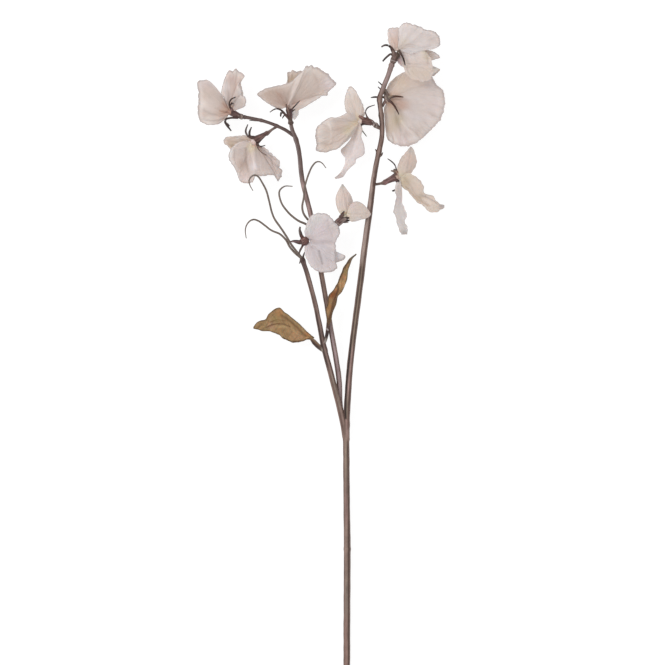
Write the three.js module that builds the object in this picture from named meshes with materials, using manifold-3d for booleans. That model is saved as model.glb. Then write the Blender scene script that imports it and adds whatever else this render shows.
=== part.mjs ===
// A sweet pea spray that lies on a table: one forked stem, nine blooms, four tendrils, two leaves.
// Millimetres, +Z up, the stem along +Y. The origin is on the table under the middle of the spray.
import * as THREE from "three";
import { mergeVertices } from "three/addons/utils/BufferGeometryUtils.js";
import Module from "manifold-3d";

const wasm = await Module();
wasm.setup();

// Driving dimensions, in millimetres.
const SPRAY_LENGTH = 660;
const TOP_Y = 23; // the top petal's edge on the layout sheet
const MIDDLE_X = 322; // the sheet's place over the origin
const MIDDLE_Y = TOP_Y + SPRAY_LENGTH / 2;
const MAIN_RADIUS = 3.2;
const RIGHT_RADIUS = 2.4;
const MIDDLE_RADIUS = 2.2;
const LEFT_RADIUS = 2.3;
const ARM_RADIUS = 1.6;
const TENDRIL_RADIUS = 0.95;
const TENDRIL_TIP_RADIUS = 0.55;
const STALK_RADIUS = 1.6;
const SEPAL_ROOT_RADIUS = 1;
const SEPAL_RADIUS = 0.8;
const SEPAL_TIP_RADIUS = 0.35;
const BLADE_THICKNESS = 0.8;
const CLAW_LENGTH = 1.6; // from the heart of a bloom to where its petals begin to spread
const HEART_RADIUS = 2.4;
const HEART_TURN = 0.3; // in radians, so that no edge of it runs along a petal's
const SEAT_GAP = 0.3;

const TAU = 2 * Math.PI;

// Every place below is [x, y, height] on a layout sheet: x to the right, y down the spray from its
// top edge, and the height over the table. This gives the place in the part's frame.
function place([x, y, height]) {
  return new THREE.Vector3(x - MIDDLE_X, MIDDLE_Y - y, height);
}

function curveThrough(points) {
  return new THREE.CatmullRomCurve3(points.map(place), false, "catmullrom", 0.5);
}

// A closed mesh as a solid, turned so that its faces point out.
function solid(vertices, triangles) {
  const vertProperties = new Float32Array(vertices.flatMap((v) => [v.x, v.y, v.z]));
  const build = (faces) =>
    new wasm.Manifold(
      new wasm.Mesh({ numProp: 3, vertProperties, triVerts: new Uint32Array(faces.flat()) }),
    );
  const made = build(triangles);
  return made.volume() > 0 ? made : build(triangles.map(([a, b, c]) => [a, c, b]));
}

function solidOf(geometry, within = 1e-4) {
  geometry.deleteAttribute("normal");
  geometry.deleteAttribute("uv");
  const merged = mergeVertices(geometry, within);
  const positions = merged.attributes.position;
  const vertices = [];
  for (let i = 0; i < positions.count; i++) {
    vertices.push(new THREE.Vector3().fromBufferAttribute(positions, i));
  }
  const triangles = [];
  for (let i = 0; i < merged.index.count; i += 3) {
    triangles.push([0, 1, 2].map((k) => merged.index.getX(i + k)));
  }
  return solid(vertices, triangles);
}

const joined = (solids) => solids.reduce((a, b) => a.add(b));

function geometryOf(made) {
  const { vertProperties, triVerts } = made.getMesh();
  const geometry = new THREE.BufferGeometry();
  geometry.setAttribute("position", new THREE.BufferAttribute(vertProperties, 3));
  geometry.setIndex(new THREE.BufferAttribute(triVerts, 1));
  return geometry;
}

// A cut can leave a loose scrap beside the piece itself, and only the largest body stays. A hollow
// that the joins seal is a body of its own with a volume under zero, so it is filled this way too.
function largestBody(made) {
  const bodies = made.decompose();
  return bodies.reduce((a, b) => (a.volume() >= b.volume() ? a : b));
}

// Tells whether some edge isn't shared by exactly two triangles once near places are one.
function pinched(geometry) {
  const { index } = mergeVertices(geometry, 1e-3);
  const uses = new Map();
  for (let i = 0; i < index.count; i++) {
    const next = i % 3 === 2 ? i - 2 : i + 1;
    const edge = [index.getX(i), index.getX(next)].sort((a, b) => a - b).join();
    uses.set(edge, (uses.get(edge) ?? 0) + 1);
  }
  return [...uses.values()].some((count) => count !== 2);
}

// Places closer than a weld become one, which can close a slit, so the largest body is taken
// again. Where a weld would pinch the surface to a line, the next one is tried.
const WELDS = [2e-3, 3e-3, 4e-3, 6e-3, 8e-3, 1e-2, 1.5e-2, 2e-2];
function tidied(made) {
  const whole = geometryOf(largestBody(made));
  for (const within of WELDS) {
    const geometry = geometryOf(largestBody(solidOf(whole.clone(), within)));
    if (!pinched(geometry)) return geometry;
  }
  throw new Error("each weld pinches the surface");
}

// The value at parameter t from 0 to 1 in a list of values spread evenly over it.
function valueAt(values, t) {
  const at = t * (values.length - 1);
  const i = Math.min(Math.floor(at), values.length - 2);
  return THREE.MathUtils.lerp(values[i], values[i + 1], at - i);
}

// A tapered tube through the points, one radius for each point. extra makes it thicker and longer,
// for the clearance that it needs in a neighbour.
function tube(points, radii, { sides = 8, steps = points.length * 2, extra = 0 } = {}) {
  const curve = curveThrough(points);
  const frames = curve.computeFrenetFrames(steps, false);
  const vertices = [];
  for (let i = 0; i <= steps; i++) {
    const t = curve.getUtoTmapping(i / steps);
    const middle = curve.getPoint(t);
    const radius = valueAt(radii, t) + extra;
    if (i === 0) middle.addScaledVector(frames.tangents[i], -extra);
    if (i === steps) middle.addScaledVector(frames.tangents[i], extra);
    for (let k = 0; k < sides; k++) {
      const angle = (k / sides) * TAU;
      const vertex = middle.clone();
      vertex.addScaledVector(frames.normals[i], Math.cos(angle) * radius);
      vertex.addScaledVector(frames.binormals[i], Math.sin(angle) * radius);
      vertices.push(vertex);
    }
  }
  const triangles = [];
  for (let i = 0; i < steps; i++) {
    for (let k = 0; k < sides; k++) {
      const a = i * sides + k;
      const b = i * sides + ((k + 1) % sides);
      triangles.push([a, b, a + sides], [b, b + sides, a + sides]);
    }
  }
  const last = steps * sides;
  for (let k = 1; k < sides - 1; k++) {
    triangles.push([0, k + 1, k], [last, last + k, last + k + 1]);
  }
  return solid(vertices, triangles);
}

// The triangles between two rows of vertices, which may hold different numbers of them.
function strip(from, to) {
  const triangles = [];
  let i = 0;
  let j = 0;
  while (i < from.length - 1 || j < to.length - 1) {
    const nextFrom = (i + 1) / (from.length - 1);
    const nextTo = (j + 1) / (to.length - 1);
    if (nextTo <= nextFrom) {
      triangles.push([from[i], to[j], to[j + 1]]);
      j += 1;
    } else {
      triangles.push([from[i], to[j], from[i + 1]]);
      i += 1;
    }
  }
  return triangles;
}

// A surface gives the place at u across and v along, both from 0 to 1. It becomes a thin closed
// blade, sampled in rows that are each [v, columns]. Both faces are split into triangles alike.
function blade(surface, rows) {
  const REACH = 0.04; // how far to each side the surface is read for its slope
  const faces = [[], []];
  const lines = rows.map(([v, columns]) => {
    const line = [];
    for (let k = 0; k <= columns; k++) {
      const u = k / columns;
      const across = surface(Math.min(u + REACH, 1), v).sub(surface(Math.max(u - REACH, 0), v));
      const along = surface(u, Math.min(v + REACH, 1)).sub(surface(u, Math.max(v - REACH, 0)));
      const half = along.cross(across).setLength(BLADE_THICKNESS / 2);
      line.push(faces[0].length);
      faces[0].push(surface(u, v).add(half));
      faces[1].push(surface(u, v).sub(half));
    }
    return line;
  });
  const size = faces[0].length;
  const triangles = [];
  lines.slice(1).forEach((line, i) =>
    strip(lines[i], line).forEach(([a, b, c]) => {
      triangles.push([a, c, b], [a + size, b + size, c + size]);
    }),
  );
  const rim = [
    ...lines[0],
    ...lines.slice(1, -1).map((line) => line.at(-1)),
    ...lines.at(-1).toReversed(),
    ...lines.slice(1, -1).map((line) => line[0]).toReversed(),
  ];
  rim.forEach((a, k) => {
    const b = rim[(k + 1) % rim.length];
    triangles.push([a, a + size, b], [b, a + size, b + size]);
  });
  return solid([...faces[0], ...faces[1]], triangles);
}

// Turns a surface's normals so that the part shown first faces up.
function facing(normal) {
  return normal.z < 0 ? -1 : 1;
}

const FAN_CLAW_ROWS = [0, 0.14];
const FAN_ROWS = [0.45, 0.75, 1];
const FAN_MOST_COLUMNS = 17;
const FAN_FRONT = 0.25; // a folded fan lists its front half first, and this is the middle of it
const FOLD_FADE = 0.75; // a fold is deepest a little past the middle, and is still there at the rim

// A fan petal spreads in straight rays from the bloom's heart to the points of its rim. It bows
// out of its own surface, is pressed into radial folds and is frilled towards the rim.
function fanPetal(heart, { rim, bow = 0, folds = [], frill = [0, 0, 0], across }) {
  const TURN = 0.08; // how far to each side the rays are read for the normal
  const curve = curveThrough(rim);
  const middle = place(heart);
  const ray = (u) => curve.getPointAt(THREE.MathUtils.clamp(u, 0, 1)).sub(middle);
  const normalAt = (u) => ray(u - TURN).cross(ray(u + TURN)).normalize();
  const turned = facing(normalAt(FAN_FRONT));
  const surface = (u, v) => {
    const spoke = ray(u);
    const length = CLAW_LENGTH + (spoke.length() - CLAW_LENGTH) * v;
    let lift = bow * Math.sin(Math.PI * v) * Math.min(1, 2 * Math.sin(Math.PI * u));
    for (const [at, width, height] of folds) {
      lift += height * Math.exp(-(((u - at) / width) ** 2)) * Math.sin(FOLD_FADE * Math.PI * v);
    }
    const [reach, waves, phase] = frill;
    lift += reach * v * v * Math.sin(TAU * waves * u + phase);
    const flat = middle.clone().addScaledVector(spoke.normalize(), length);
    return flat.addScaledVector(normalAt(u), turned * lift);
  };
  const columns = across ?? Math.min(rim.length, FAN_MOST_COLUMNS);
  const few = Math.ceil(columns / 3);
  return blade(surface, [
    ...FAN_CLAW_ROWS.map((v) => [v, few]),
    ...FAN_ROWS.map((v) => [v, columns]),
  ]);
}

const STRAP_COLUMNS = 4;
const CLAW_CUP = 0.1; // a strap petal is already a little cupped at its claw

// A strap petal or a leaf lies between its two side edges, cupped across and frilled along them.
function strapPetal({ left, right, cup = 0, frill = [0, 0, 0] }) {
  const edges = [curveThrough(left), curveThrough(right)];
  const normalAt = (v) => {
    const [from, to] = edges.map((edge) => edge.getPointAt(v));
    const tangent = edges[0].getTangentAt(v).add(edges[1].getTangentAt(v));
    return to.sub(from).cross(tangent).normalize();
  };
  const turned = facing(normalAt(0.5));
  const surface = (u, v) => {
    const [from, to] = edges.map((edge) => edge.getPointAt(v));
    const s = 2 * u - 1;
    const [reach, waves, phase] = frill;
    const wave = reach * s * Math.sin(TAU * waves * v + phase) * Math.sin(Math.PI * v);
    const lift = cup * (1 - s * s) * Math.sin(Math.PI * Math.min(CLAW_CUP + v, 1)) + wave;
    return from.lerp(to, u).addScaledVector(normalAt(v), turned * lift);
  };
  const count = Math.max(left.length, right.length);
  const narrow = STRAP_COLUMNS / 2;
  const rows = [[0, narrow], [1 / count, narrow]];
  for (let i = 2; i <= count; i++) rows.push([i / count, STRAP_COLUMNS]);
  return blade(surface, rows);
}

const STEM_COLOUR = 0x86746a;
const CALYX_COLOUR = 0x5f4641;
const PETAL_COLOUR = 0xd7c8c1;
const PALE_PETAL_COLOUR = 0xdccfcf;
const TENDRIL_COLOUR = 0x695a50;
const LEAF_COLOUR = 0xaa875a;

// The stem: the right branch runs on from the main stem, and the other two fork from it.
const CUT_END = [346.3, TOP_Y + SPRAY_LENGTH, 3];
// The three stem ends that each carry the calyx of a bloom.
const RIGHT_END = [392.1, 63.4, 29];
const MIDDLE_END = [290.9, 125, 26.8];
const ARM_END = [242.9, 117, 26];
const MAIN_AND_RIGHT = [
  CUT_END, [346.3, 616, 5.9], [346.1, 550, 8.7], [346.6, 500, 10.8], [346.3, 444, 13.1],
  [346.6, 420, 14.2], [347.2, 407.6, 14.7], [349.6, 370, 16.3], [353.6, 331, 17.9],
  [359.7, 285, 19.8], [364.9, 241, 21.6], [369.6, 213, 22.8], [374.2, 173, 24.5],
  [378.5, 152, 25.3], [382.2, 138, 25.9], [383, 124, 26.5], [380.6, 106, 27.2],
  [379.8, 92, 27.8], [384.4, 83, 28.2], [387.4, 76, 28.5], RIGHT_END,
];
const MAIN_AND_RIGHT_RADII = [
  MAIN_RADIUS, MAIN_RADIUS, MAIN_RADIUS, MAIN_RADIUS, MAIN_RADIUS, 2.9, 2.65, 2.6, 2.5,
  RIGHT_RADIUS, RIGHT_RADIUS, 2.3, 2.2, 2.2, 2.2, 2.1, 2.1, 2.1, 2.1, 2, 2.5,
];
const STEM_STEPS = 1.3; // for each place along it
const MIDDLE_RADII = [2.3, LEFT_RADIUS, MIDDLE_RADIUS, 2, 1.9, 1.8, 1.6];
const MIDDLE_BRANCH = [
  [346, 424, 13], [343.8, 411, 10.8], [341.5, 401, 10.4], [339.5, 382, 12.2], [335.7, 356.5, 14.5],
  [331.5, 332, 16.6], [324.2, 290, 19.6], [316, 245, 21.8], [310.9, 214.5, 22.8],
  [304, 188, 23.7], [302, 175, 24.2], [299.4, 153, 25], [295.9, 139.5, 25.8], [292.6, 131.5, 26.3],
  MIDDLE_END,
];
const LEFT_RADII = [2.7, LEFT_RADIUS, LEFT_RADIUS, LEFT_RADIUS, 2.2];
const LEFT_BRANCH = [
  [346.6, 438, 13.4], [343.4, 418, 14.7], [338.3, 398.6, 15.5], [331.9, 373, 16.4],
  [325, 348, 17.3], [320.7, 325.4, 18.2], [316.5, 304, 19], [309.4, 276, 20.1], [302.4, 258, 20.8],
];
const ARM_RADII = [ARM_RADIUS, ARM_RADIUS, ARM_RADIUS];
const ARM = [
  [293.8, 136, 26], [285.6, 129.8, 26.2], [277.6, 125.8, 26.2], [269.5, 122.3, 26.2],
  [260.4, 119.5, 26.1], [251.2, 117.7, 26], ARM_END,
];
const BRACT_RADII = [1.1, 0.9, SEPAL_TIP_RADIUS];
const BRACTS = [
  [[302.6, 259, 21], [303.6, 255, 23], [304.8, 251.5, 24]],
  [[302.4, 257, 21], [300.6, 260.5, 22], [299.2, 263.8, 22.5]],
  [[379.6, 156.5, 26], [381.6, 155, 26.6], [382.9, 152.4, 26.8]],
  [[382, 116, 27], [380.6, 113.8, 27.2], [379.3, 111.4, 27.4]],
  [[378.2, 153.4, 26], [376.6, 151.4, 26], [375.2, 149, 26]],
  [[261, 119.8, 25.8], [255, 119.8, 25.6], [249.3, 120, 25.6]],
];

function makeStem(extra) {
  const branch = (points, radii) =>
    tube(points, radii, { steps: Math.round(points.length * STEM_STEPS), extra });
  const bract = (points) => tube(points, BRACT_RADII, { sides: 4, steps: 2, extra });
  return joined([
    branch(MAIN_AND_RIGHT, MAIN_AND_RIGHT_RADII),
    branch(MIDDLE_BRANCH, MIDDLE_RADII),
    branch(LEFT_BRANCH, LEFT_RADII),
    branch(ARM, ARM_RADII),
    ...BRACTS.map(bract),
  ]);
}

const TENDRIL_RADII = [TENDRIL_RADIUS, 0.85, 0.75, 0.65, TENDRIL_TIP_RADIUS];
const TENDRIL_STEPS = 1.5; // for each place along it
const TENDRILS = [
  [
    [302, 258, 21.5], [292.3, 246.1, 25], [286.2, 236.2, 28], [280.1, 227, 30.5],
    [274.7, 219.3, 32.5], [271.7, 211.7, 34.5], [269.4, 201.7, 37], [266.7, 191.8, 40],
    [262.5, 183.4, 43], [258.7, 177.6, 45], [254.8, 176.1, 45.5], [251.4, 178, 45.5],
    [249.5, 181.8, 45], [250.6, 186.4, 44], [253.3, 191.4, 43],
  ],
  [
    [301, 258, 19.8], [294.6, 252.6, 20.6], [289.6, 246.6, 21.4], [286, 240, 22.2],
    [280.1, 234.2, 23], [274, 231.6, 24], [270.2, 229.7, 25], [264.8, 225.5, 26.5],
    [259.4, 221.6, 28], [254.1, 219.7, 29], [249.5, 221.6, 29.5], [246.4, 226.2, 29.5],
    [245.5, 231.6, 29], [246.4, 238.5, 28],
  ],
  [
    [313, 229.5, 22.6], [306.1, 224.3, 24], [298.5, 220.9, 26], [290.8, 215.1, 28.5],
    [285.5, 209.4, 30.5], [281.6, 203.3, 32], [279.3, 195.6, 33.5], [279.7, 191, 34],
    [282.4, 188, 34.5], [286.2, 186.4, 35], [292.7, 186.8, 35],
  ],
  [
    [312, 223, 23.5], [307.3, 219, 27], [303.4, 213.2, 29.5], [302.3, 206.3, 30.5],
    [303.8, 197.9, 31], [304.6, 188, 31.5], [306.9, 179.5, 32], [309.9, 171.1, 32],
    [312.4, 166.4, 32], [315.7, 162.7, 32], [319.1, 162, 32], [322.4, 163.7, 32],
    [326.1, 168.4, 32],
  ],
];

function makeTendril(points, extra) {
  const steps = Math.round(points.length * TENDRIL_STEPS);
  return tube(points, TENDRIL_RADII, { sides: 5, steps, extra });
}

const LEAVES = [
  {
    left: [
      [310.4, 337.2, 19.2], [306.6, 332.4, 20.5], [298.2, 324, 23], [289.8, 317, 25.5],
      [280.7, 308.3, 27], [275.8, 308.6, 27], [270.2, 312.8, 26], [265.9, 319.1, 24.5],
      [258.9, 322.6, 23.5], [253.4, 327.3, 22.5],
    ],
    right: [
      [309.4, 338.9, 19], [303.8, 340.8, 18.4], [295.4, 342.2, 18], [287, 340.8, 18.2],
      [280, 335.2, 19.4], [274.4, 332.4, 20], [268.8, 330.3, 20.6], [264.5, 331.7, 20.4],
      [258.9, 330.2, 21.4], [253.6, 328.7, 22.3],
    ],
    cup: -1.6,
    stalk: [[310.6, 338.6, 19], [315.5, 343.6, 18.6], [319.3, 347.8, 18], [325.2, 351.6, 17.6]],
  },
  {
    left: [
      [326.9, 325.2, 23.6], [327, 314.2, 25], [329.1, 300.1, 27.2], [333.3, 291.7, 28.6],
      [338.9, 286.1, 29.8], [343.1, 279.1, 31], [347.3, 270.7, 32.2], [351.5, 260.8, 33.4],
      [356, 254.3, 34],
    ],
    right: [
      [328.5, 325.6, 23.4], [330.5, 319.8, 22.6], [334, 307.1, 23], [338.9, 297.3, 24],
      [345.9, 287.5, 25.6], [348.2, 276.3, 28], [349.6, 267, 30.4], [352.8, 260.6, 32.6],
      [356.8, 255.2, 33.8],
    ],
    cup: 1.4,
    stalk: [[327.7, 326, 23.4], [327.9, 333.8, 21.8], [325.9, 341, 19.6], [324, 345, 17.6]],
  },
];

const STALK_RADII = [1.1, STALK_RADIUS, STALK_RADIUS, 1.2];
function makeStalk({ stalk }, extra) {
  return tube(stalk, STALK_RADII, { sides: 6, steps: stalk.length + 1, extra });
}

// The blooms, from the far left one round to the one in the middle. cone gives the stalk, the
// knuckle and the cup of the calyx as places with their radii, from the stem out. The heart is
// where the petals meet, just past the cup's mouth.
const BLOOMS = [
  {
    colour: PETAL_COLOUR,
    heart: [229.8, 111.8, 25.2],
    cone: [ARM_END, [240.6, 116.4, 25.8], [236, 114.6, 25.5], [231.8, 112.6, 25.3]],
    coneRadii: [2.4, 2.2, 2.8, 3.1],
    sepals: [
      [[232.6, 110.4, 27.6], [229.7, 103.8, 33.4], [232.9, 99.3, 36.8], [236.4, 97.9, 38]],
      [[232.2, 110.4, 27.6], [230.2, 106, 33.6], [233.8, 104.2, 36.2]],
      [[236.4, 116.6, 27], [230.2, 118.4, 31.6], [225.3, 121.6, 35.4], [226.6, 126.5, 36],
        [231.5, 131.3, 35.6]],
      [[233, 110.6, 23.4], [237.6, 105, 19.6], [240.6, 100.6, 17.4]],
      [[234, 114.6, 22.8], [229.4, 113.4, 17.6], [225.2, 112.4, 14.4]],
    ],
    fans: [
      {
        rim: [
          [226.4, 119.4, 29.5], [217, 124.6, 37], [208, 124.8, 40.5], [200.8, 120.4, 41],
          [198.4, 112, 40.5], [198.6, 100, 39], [199, 90.4, 35.5], [198.6, 83.6, 31.5],
          [203.4, 79.6, 28], [207.6, 79.8, 24.6], [204.6, 84, 19], [202.6, 94, 10], [202.4, 104, 2.4],
          [204.6, 114, -0.8], [210.4, 121.4, 2], [218.6, 122.8, 9], [225.4, 118.6, 17.6],
        ],
        bow: 2.6, folds: [[0.2, 0.05, -1.2]], frill: [0.7, 5, 0.4],
      },
      {
        rim: [
          [228.4, 104.6, 27.6], [224.8, 98, 30], [221.9, 91.3, 31.4], [224.2, 82, 33.4],
          [228.4, 74.6, 33.6], [233.6, 70.6, 32.4], [238.6, 70.8, 30.6], [243.8, 76, 31.6],
          [240, 83, 34.4], [242, 90, 36], [244.6, 98.5, 36.4], [245.8, 104.6, 35.4],
          [240.4, 109.2, 31.6], [234.6, 109.6, 28],
        ],
        bow: 1.4, folds: [[0.3, 0.08, -1.4]], frill: [0.8, 5, 1],
      },
      {
        rim: [
          [227.6, 103.6, 23.6], [223, 95, 20], [223.6, 84, 16.6], [230, 75.6, 14.8],
          [238, 74, 14.4], [241.4, 83, 13.4], [242.8, 94, 12.8], [242.6, 103, 14.6],
          [236.4, 108.6, 20],
        ],
        bow: -1.6, frill: [0.9, 3, 0], across: 7,
      },
      {
        rim: [
          [233.4, 105.4, 27.6], [237.4, 97.6, 28.6], [238.2, 88.4, 26.8], [236.4, 84, 24.6],
          [238, 89.6, 22.4], [237, 98.4, 20.8], [233.2, 105.6, 22.4],
        ],
        bow: 0.6, across: 7,
      },
    ],
  },
  {
    colour: PETAL_COLOUR,
    heart: [288, 106.9, 27.4],
    cone: [MIDDLE_END, [290.6, 123.2, 26.8], [290.2, 120.8, 26.9], [289.2, 115, 27.1],
      [288.3, 109.2, 27.3]],
    coneRadii: [2, 3, 2.1, 3.2, 3.9],
    sepals: [
      [[286, 112, 28.6], [281.6, 110.9, 31.4], [276, 109.6, 32.6], [270, 112.8, 32]],
      [[287, 114, 28.6], [282.6, 113.4, 29.4], [280.4, 117.2, 29]],
      [[288, 116.6, 26], [284, 116.8, 25.6], [281.8, 119.6, 25]],
      [[288, 112, 30.6], [287, 107.6, 33.8], [285.8, 104.6, 35.6]],
      [[290, 111.6, 30.2], [294.4, 106.8, 35.2], [299.7, 101.8, 38.4]],
    ],
    fans: [
      {
        rim: [
          [280.4, 109.6, 29.4], [271, 105.2, 28.6], [263.4, 99.4, 25], [257.2, 93.8, 21],
          [263.2, 89.4, 23], [271.2, 87.2, 26], [281, 85.3, 29.4], [290, 82.8, 33.4],
          [297, 77, 37], [303.6, 70.6, 38.4], [308.6, 66, 37.6], [316.4, 68.4, 36],
          [325.7, 73.3, 32.4], [331.6, 78, 29], [336.2, 84, 25], [331, 88, 26.4], [326.8, 93.6, 27.6],
          [318.5, 98.2, 30.4], [307.6, 105.2, 32], [297.4, 110.6, 31],
        ],
        bow: 1.6, folds: [[0.5, 0.05, 3.2], [0.3, 0.09, -1.6], [0.76, 0.07, -1]],
        frill: [0.5, 7, 0],
      },
      {
        rim: [
          [283.4, 99, 25], [284.4, 88, 21.6], [288, 73.8, 19], [292.4, 69.4, 18.4],
          [303, 71.4, 18.4], [312, 80, 17], [312.6, 93, 17], [303, 103.4, 21],
        ],
        bow: -2, frill: [0.8, 3, 0], across: 7,
      },
      {
        rim: [
          [282, 104.6, 23.6], [270, 100, 15], [266, 95, 9.4], [273, 90.6, 6], [285, 89, 5],
          [296, 93, 6], [301, 101, 11], [296.6, 107, 20],
        ],
        bow: -1.6, frill: [0.9, 3, 1], across: 7,
      },
      {
        rim: [
          [292.2, 111.6, 20.6], [292.6, 116.6, 16.6], [294.6, 119.4, 14], [297.4, 116.6, 13],
          [299.6, 109, 14], [297.4, 103, 19],
        ],
        bow: 0.8, across: 7,
      },
    ],
  },
  {
    colour: PETAL_COLOUR,
    heart: [254, 142.4, 27],
    cone: [[276.6, 126.6, 25.9], [272, 129.6, 26], [267.8, 132.9, 26.2], [266, 133.8, 26.3],
      [261, 137.2, 26.6], [255.9, 140.8, 26.9]],
    coneRadii: [1.2, 1.2, 2, 1.5, 3, 4.5],
    sepals: [
      [[253.4, 137.8, 28.6], [247, 135.6, 30.4], [245.8, 131.3, 31], [247.6, 125, 31]],
      [[254.4, 137, 27.6], [250, 135.8, 28.6], [249.4, 133, 29], [251.2, 128.1, 29]],
      [[259, 143.6, 28.6], [259.4, 146.4, 31.4], [262.4, 147.4, 33.4], [265.6, 146, 34.6]],
      [[257.6, 144, 30.4], [258.6, 148.6, 34.6], [262.4, 153.6, 37.4], [268.6, 156.4, 38]],
      [[256.6, 141.6, 23.4], [252.6, 146.6, 20.4], [250.6, 151, 18.6]],
    ],
    fans: [
      {
        rim: [
          [246.6, 140.6, 28.6], [238, 143.2, 30], [231.4, 148.6, 30], [228.7, 155.6, 29.4],
          [230.4, 162, 29.4], [235, 168.6, 30.4], [237.6, 175, 31.4], [240.4, 181.6, 31.6],
          [246, 183.2, 33.4], [252.4, 182.8, 35.4], [256.6, 176.8, 37.6], [264, 176.6, 36],
          [271.4, 175, 33.4], [275.6, 175, 31.4], [278.6, 180, 28.4], [282, 172.6, 27],
          [279, 166, 28.6], [277.6, 160, 30], [272.4, 155.2, 30.6], [266.4, 150.4, 30.6],
          [260.6, 147.6, 30],
        ],
        bow: 1.6, folds: [[0.5, 0.06, 2.6], [0.36, 0.06, -2], [0.17, 0.05, 1.4]],
        frill: [0.6, 7, 0],
      },
      {
        rim: [
          [247.6, 137.6, 25.4], [236, 136.1, 23], [226.4, 137, 20.6], [223, 141.2, 18.6],
          [227.4, 147, 17], [234, 152, 15.6], [243, 154.6, 16], [251, 151, 20],
        ],
        bow: 1.2, frill: [0.5, 3, 0], across: 7,
      },
      {
        rim: [
          [246.6, 148, 21], [238, 154, 13.6], [235.6, 163, 8], [241, 171, 5.6], [252, 173.6, 5],
          [263, 170.6, 6.6], [268.6, 161, 11], [262.6, 150.4, 20],
        ],
        bow: -1.4, frill: [0.9, 3, 0.6], across: 7,
      },
    ],
  },
  {
    colour: PETAL_COLOUR,
    heart: [358.8, 121.8, 27.2],
    cone: [[380.4, 128.6, 26.4], [376.3, 125.6, 26.4], [373.3, 123.9, 26.5], [367, 122.2, 26.8],
      [361.3, 121.7, 27.1]],
    coneRadii: [1.6, 2, 2.1, 3.4, 4.2],
    sepals: [
      [[366.6, 119.6, 28.6], [365.2, 113.6, 30.4], [367.6, 108.3, 31], [374, 105.4, 31]],
      [[363, 125, 29], [363.2, 129.8, 30.6], [366, 136.3, 30.6]],
      [[363, 119.6, 30], [358.6, 116.2, 33.6]],
      [[363, 120, 23.8], [357.6, 114.4, 21], [354, 109.4, 19]],
      [[362.6, 123.6, 23.6], [358, 129, 20.6], [356, 134, 18.6]],
    ],
    fans: [
      {
        rim: [
          [364.8, 115, 27.4], [363.4, 106.6, 29.4], [358, 95.6, 31], [353.5, 88.9, 31],
          [349.8, 86.8, 30.4], [346.9, 91, 29.4], [344.7, 100, 28.6], [345.4, 109, 28.6],
          [349, 115.6, 28.6],
        ],
        bow: 1.6, folds: [[0.5, 0.14, -1]], frill: [0.3, 3, 0],
      },
      {
        rim: [
          [352, 113.4, 30.4], [346.5, 113.6, 32], [341.2, 116.6, 33.6], [336, 118.4, 35],
          [329.8, 118.3, 36.4], [322, 124, 38], [316.8, 128.4, 38.4], [315.5, 136, 38.6],
          [316.8, 144.6, 37.4], [316.4, 151, 36], [325.8, 152.6, 36.4], [332, 150.6, 36.4],
          [337.1, 149.4, 35.6], [342, 145.6, 34], [347, 141, 32.4], [352, 136, 31],
          [356.2, 129.2, 29.4],
        ],
        bow: 2.4, folds: [[0.28, 0.05, -1.6], [0.4, 0.05, 1.2]], frill: [0.6, 6, 0],
      },
      {
        rim: [
          [351, 114.6, 23.4], [340, 120.4, 15], [327, 126, 9], [321, 134, 6], [322.6, 144, 5.4],
          [333, 147, 7.6], [345, 139.6, 13], [354.6, 129.4, 21.6],
        ],
        bow: -2, frill: [0.9, 3, 0], across: 7,
      },
      {
        rim: [
          [362.4, 113, 23.6], [357.4, 99, 19], [352, 91.6, 17], [348.4, 98, 15.4],
          [348.6, 108, 16.6], [352.6, 116, 20.6],
        ],
        bow: -1, across: 7,
      },
    ],
    straps: [
      {
        left: [
          [358.4, 123.4, 25.4], [355.2, 128.4, 24.6], [352.2, 134, 23.6], [350.6, 139, 22.4],
          [345.6, 145, 20.6], [340.8, 149.8, 19], [342.4, 154.4, 18], [345.2, 158.6, 17],
          [344.6, 164.6, 15.6], [340.4, 172, 13], [334.6, 177.2, 11],
        ],
        right: [
          [360.6, 124.6, 25.4], [362.6, 129.6, 24.6], [361.2, 136.4, 23.8], [363.4, 143, 22.8],
          [364.6, 149.6, 21.4], [363.6, 154.8, 20], [356.4, 158.8, 18], [355.4, 162.6, 17],
          [350.6, 167, 15], [346.4, 171.6, 13.4], [342.8, 176.6, 12], [335.4, 178.4, 11],
        ],
        cup: 1.6, frill: [0.9, 2, 0],
      },
    ],
  },
  {
    colour: PETAL_COLOUR,
    heart: [397.4, 50.6, 29.8],
    cone: [RIGHT_END, [394, 58.5, 29.3], [396.3, 52.9, 29.7]],
    coneRadii: [2.7, 3.3, 4.2],
    sepals: [
      [[393.6, 54.6, 31], [390.6, 48.6, 32.6], [386.6, 45.4, 33.4], [381, 47.6, 33.4]],
      [[392.6, 57, 30.6], [387.3, 56.7, 32], [383, 61.6, 32]],
      [[398.6, 54.6, 33], [402.4, 59.4, 39.6], [404.9, 67, 42.8]],
      [[397, 54, 26.4], [401, 49.6, 22.6], [404, 45, 20.6]],
      [[394, 55, 26.4], [391.4, 49, 23.4], [390, 44, 21.6]],
    ],
    fans: [
      {
        rim: [
          [391.6, 47.6, 29.6], [388.3, 43, 31], [387.9, 35.8, 31.4], [388.3, 29.6, 30.6],
          [394, 27.8, 29.4], [399.4, 29, 28.4], [402, 38, 28], [401, 46, 28.6],
        ],
        bow: 1, folds: [[0.5, 0.1, -1]], frill: [0.4, 3, 0],
      },
      {
        rim: [
          [398.6, 41, 34], [398.7, 31.6, 36.6], [402, 25.4, 38], [407, 23.8, 38.4],
          [413, 25.8, 38.4], [419, 27.3, 37.4], [425.2, 30.7, 36.4], [431.4, 31.6, 34.6],
          [437, 34.4, 33], [440, 40.6, 31.6], [439.4, 45.6, 31.4], [435.4, 48.4, 32.4],
          [429, 49.4, 33.6], [420, 52, 35.4], [411, 55, 35],
        ],
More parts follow.
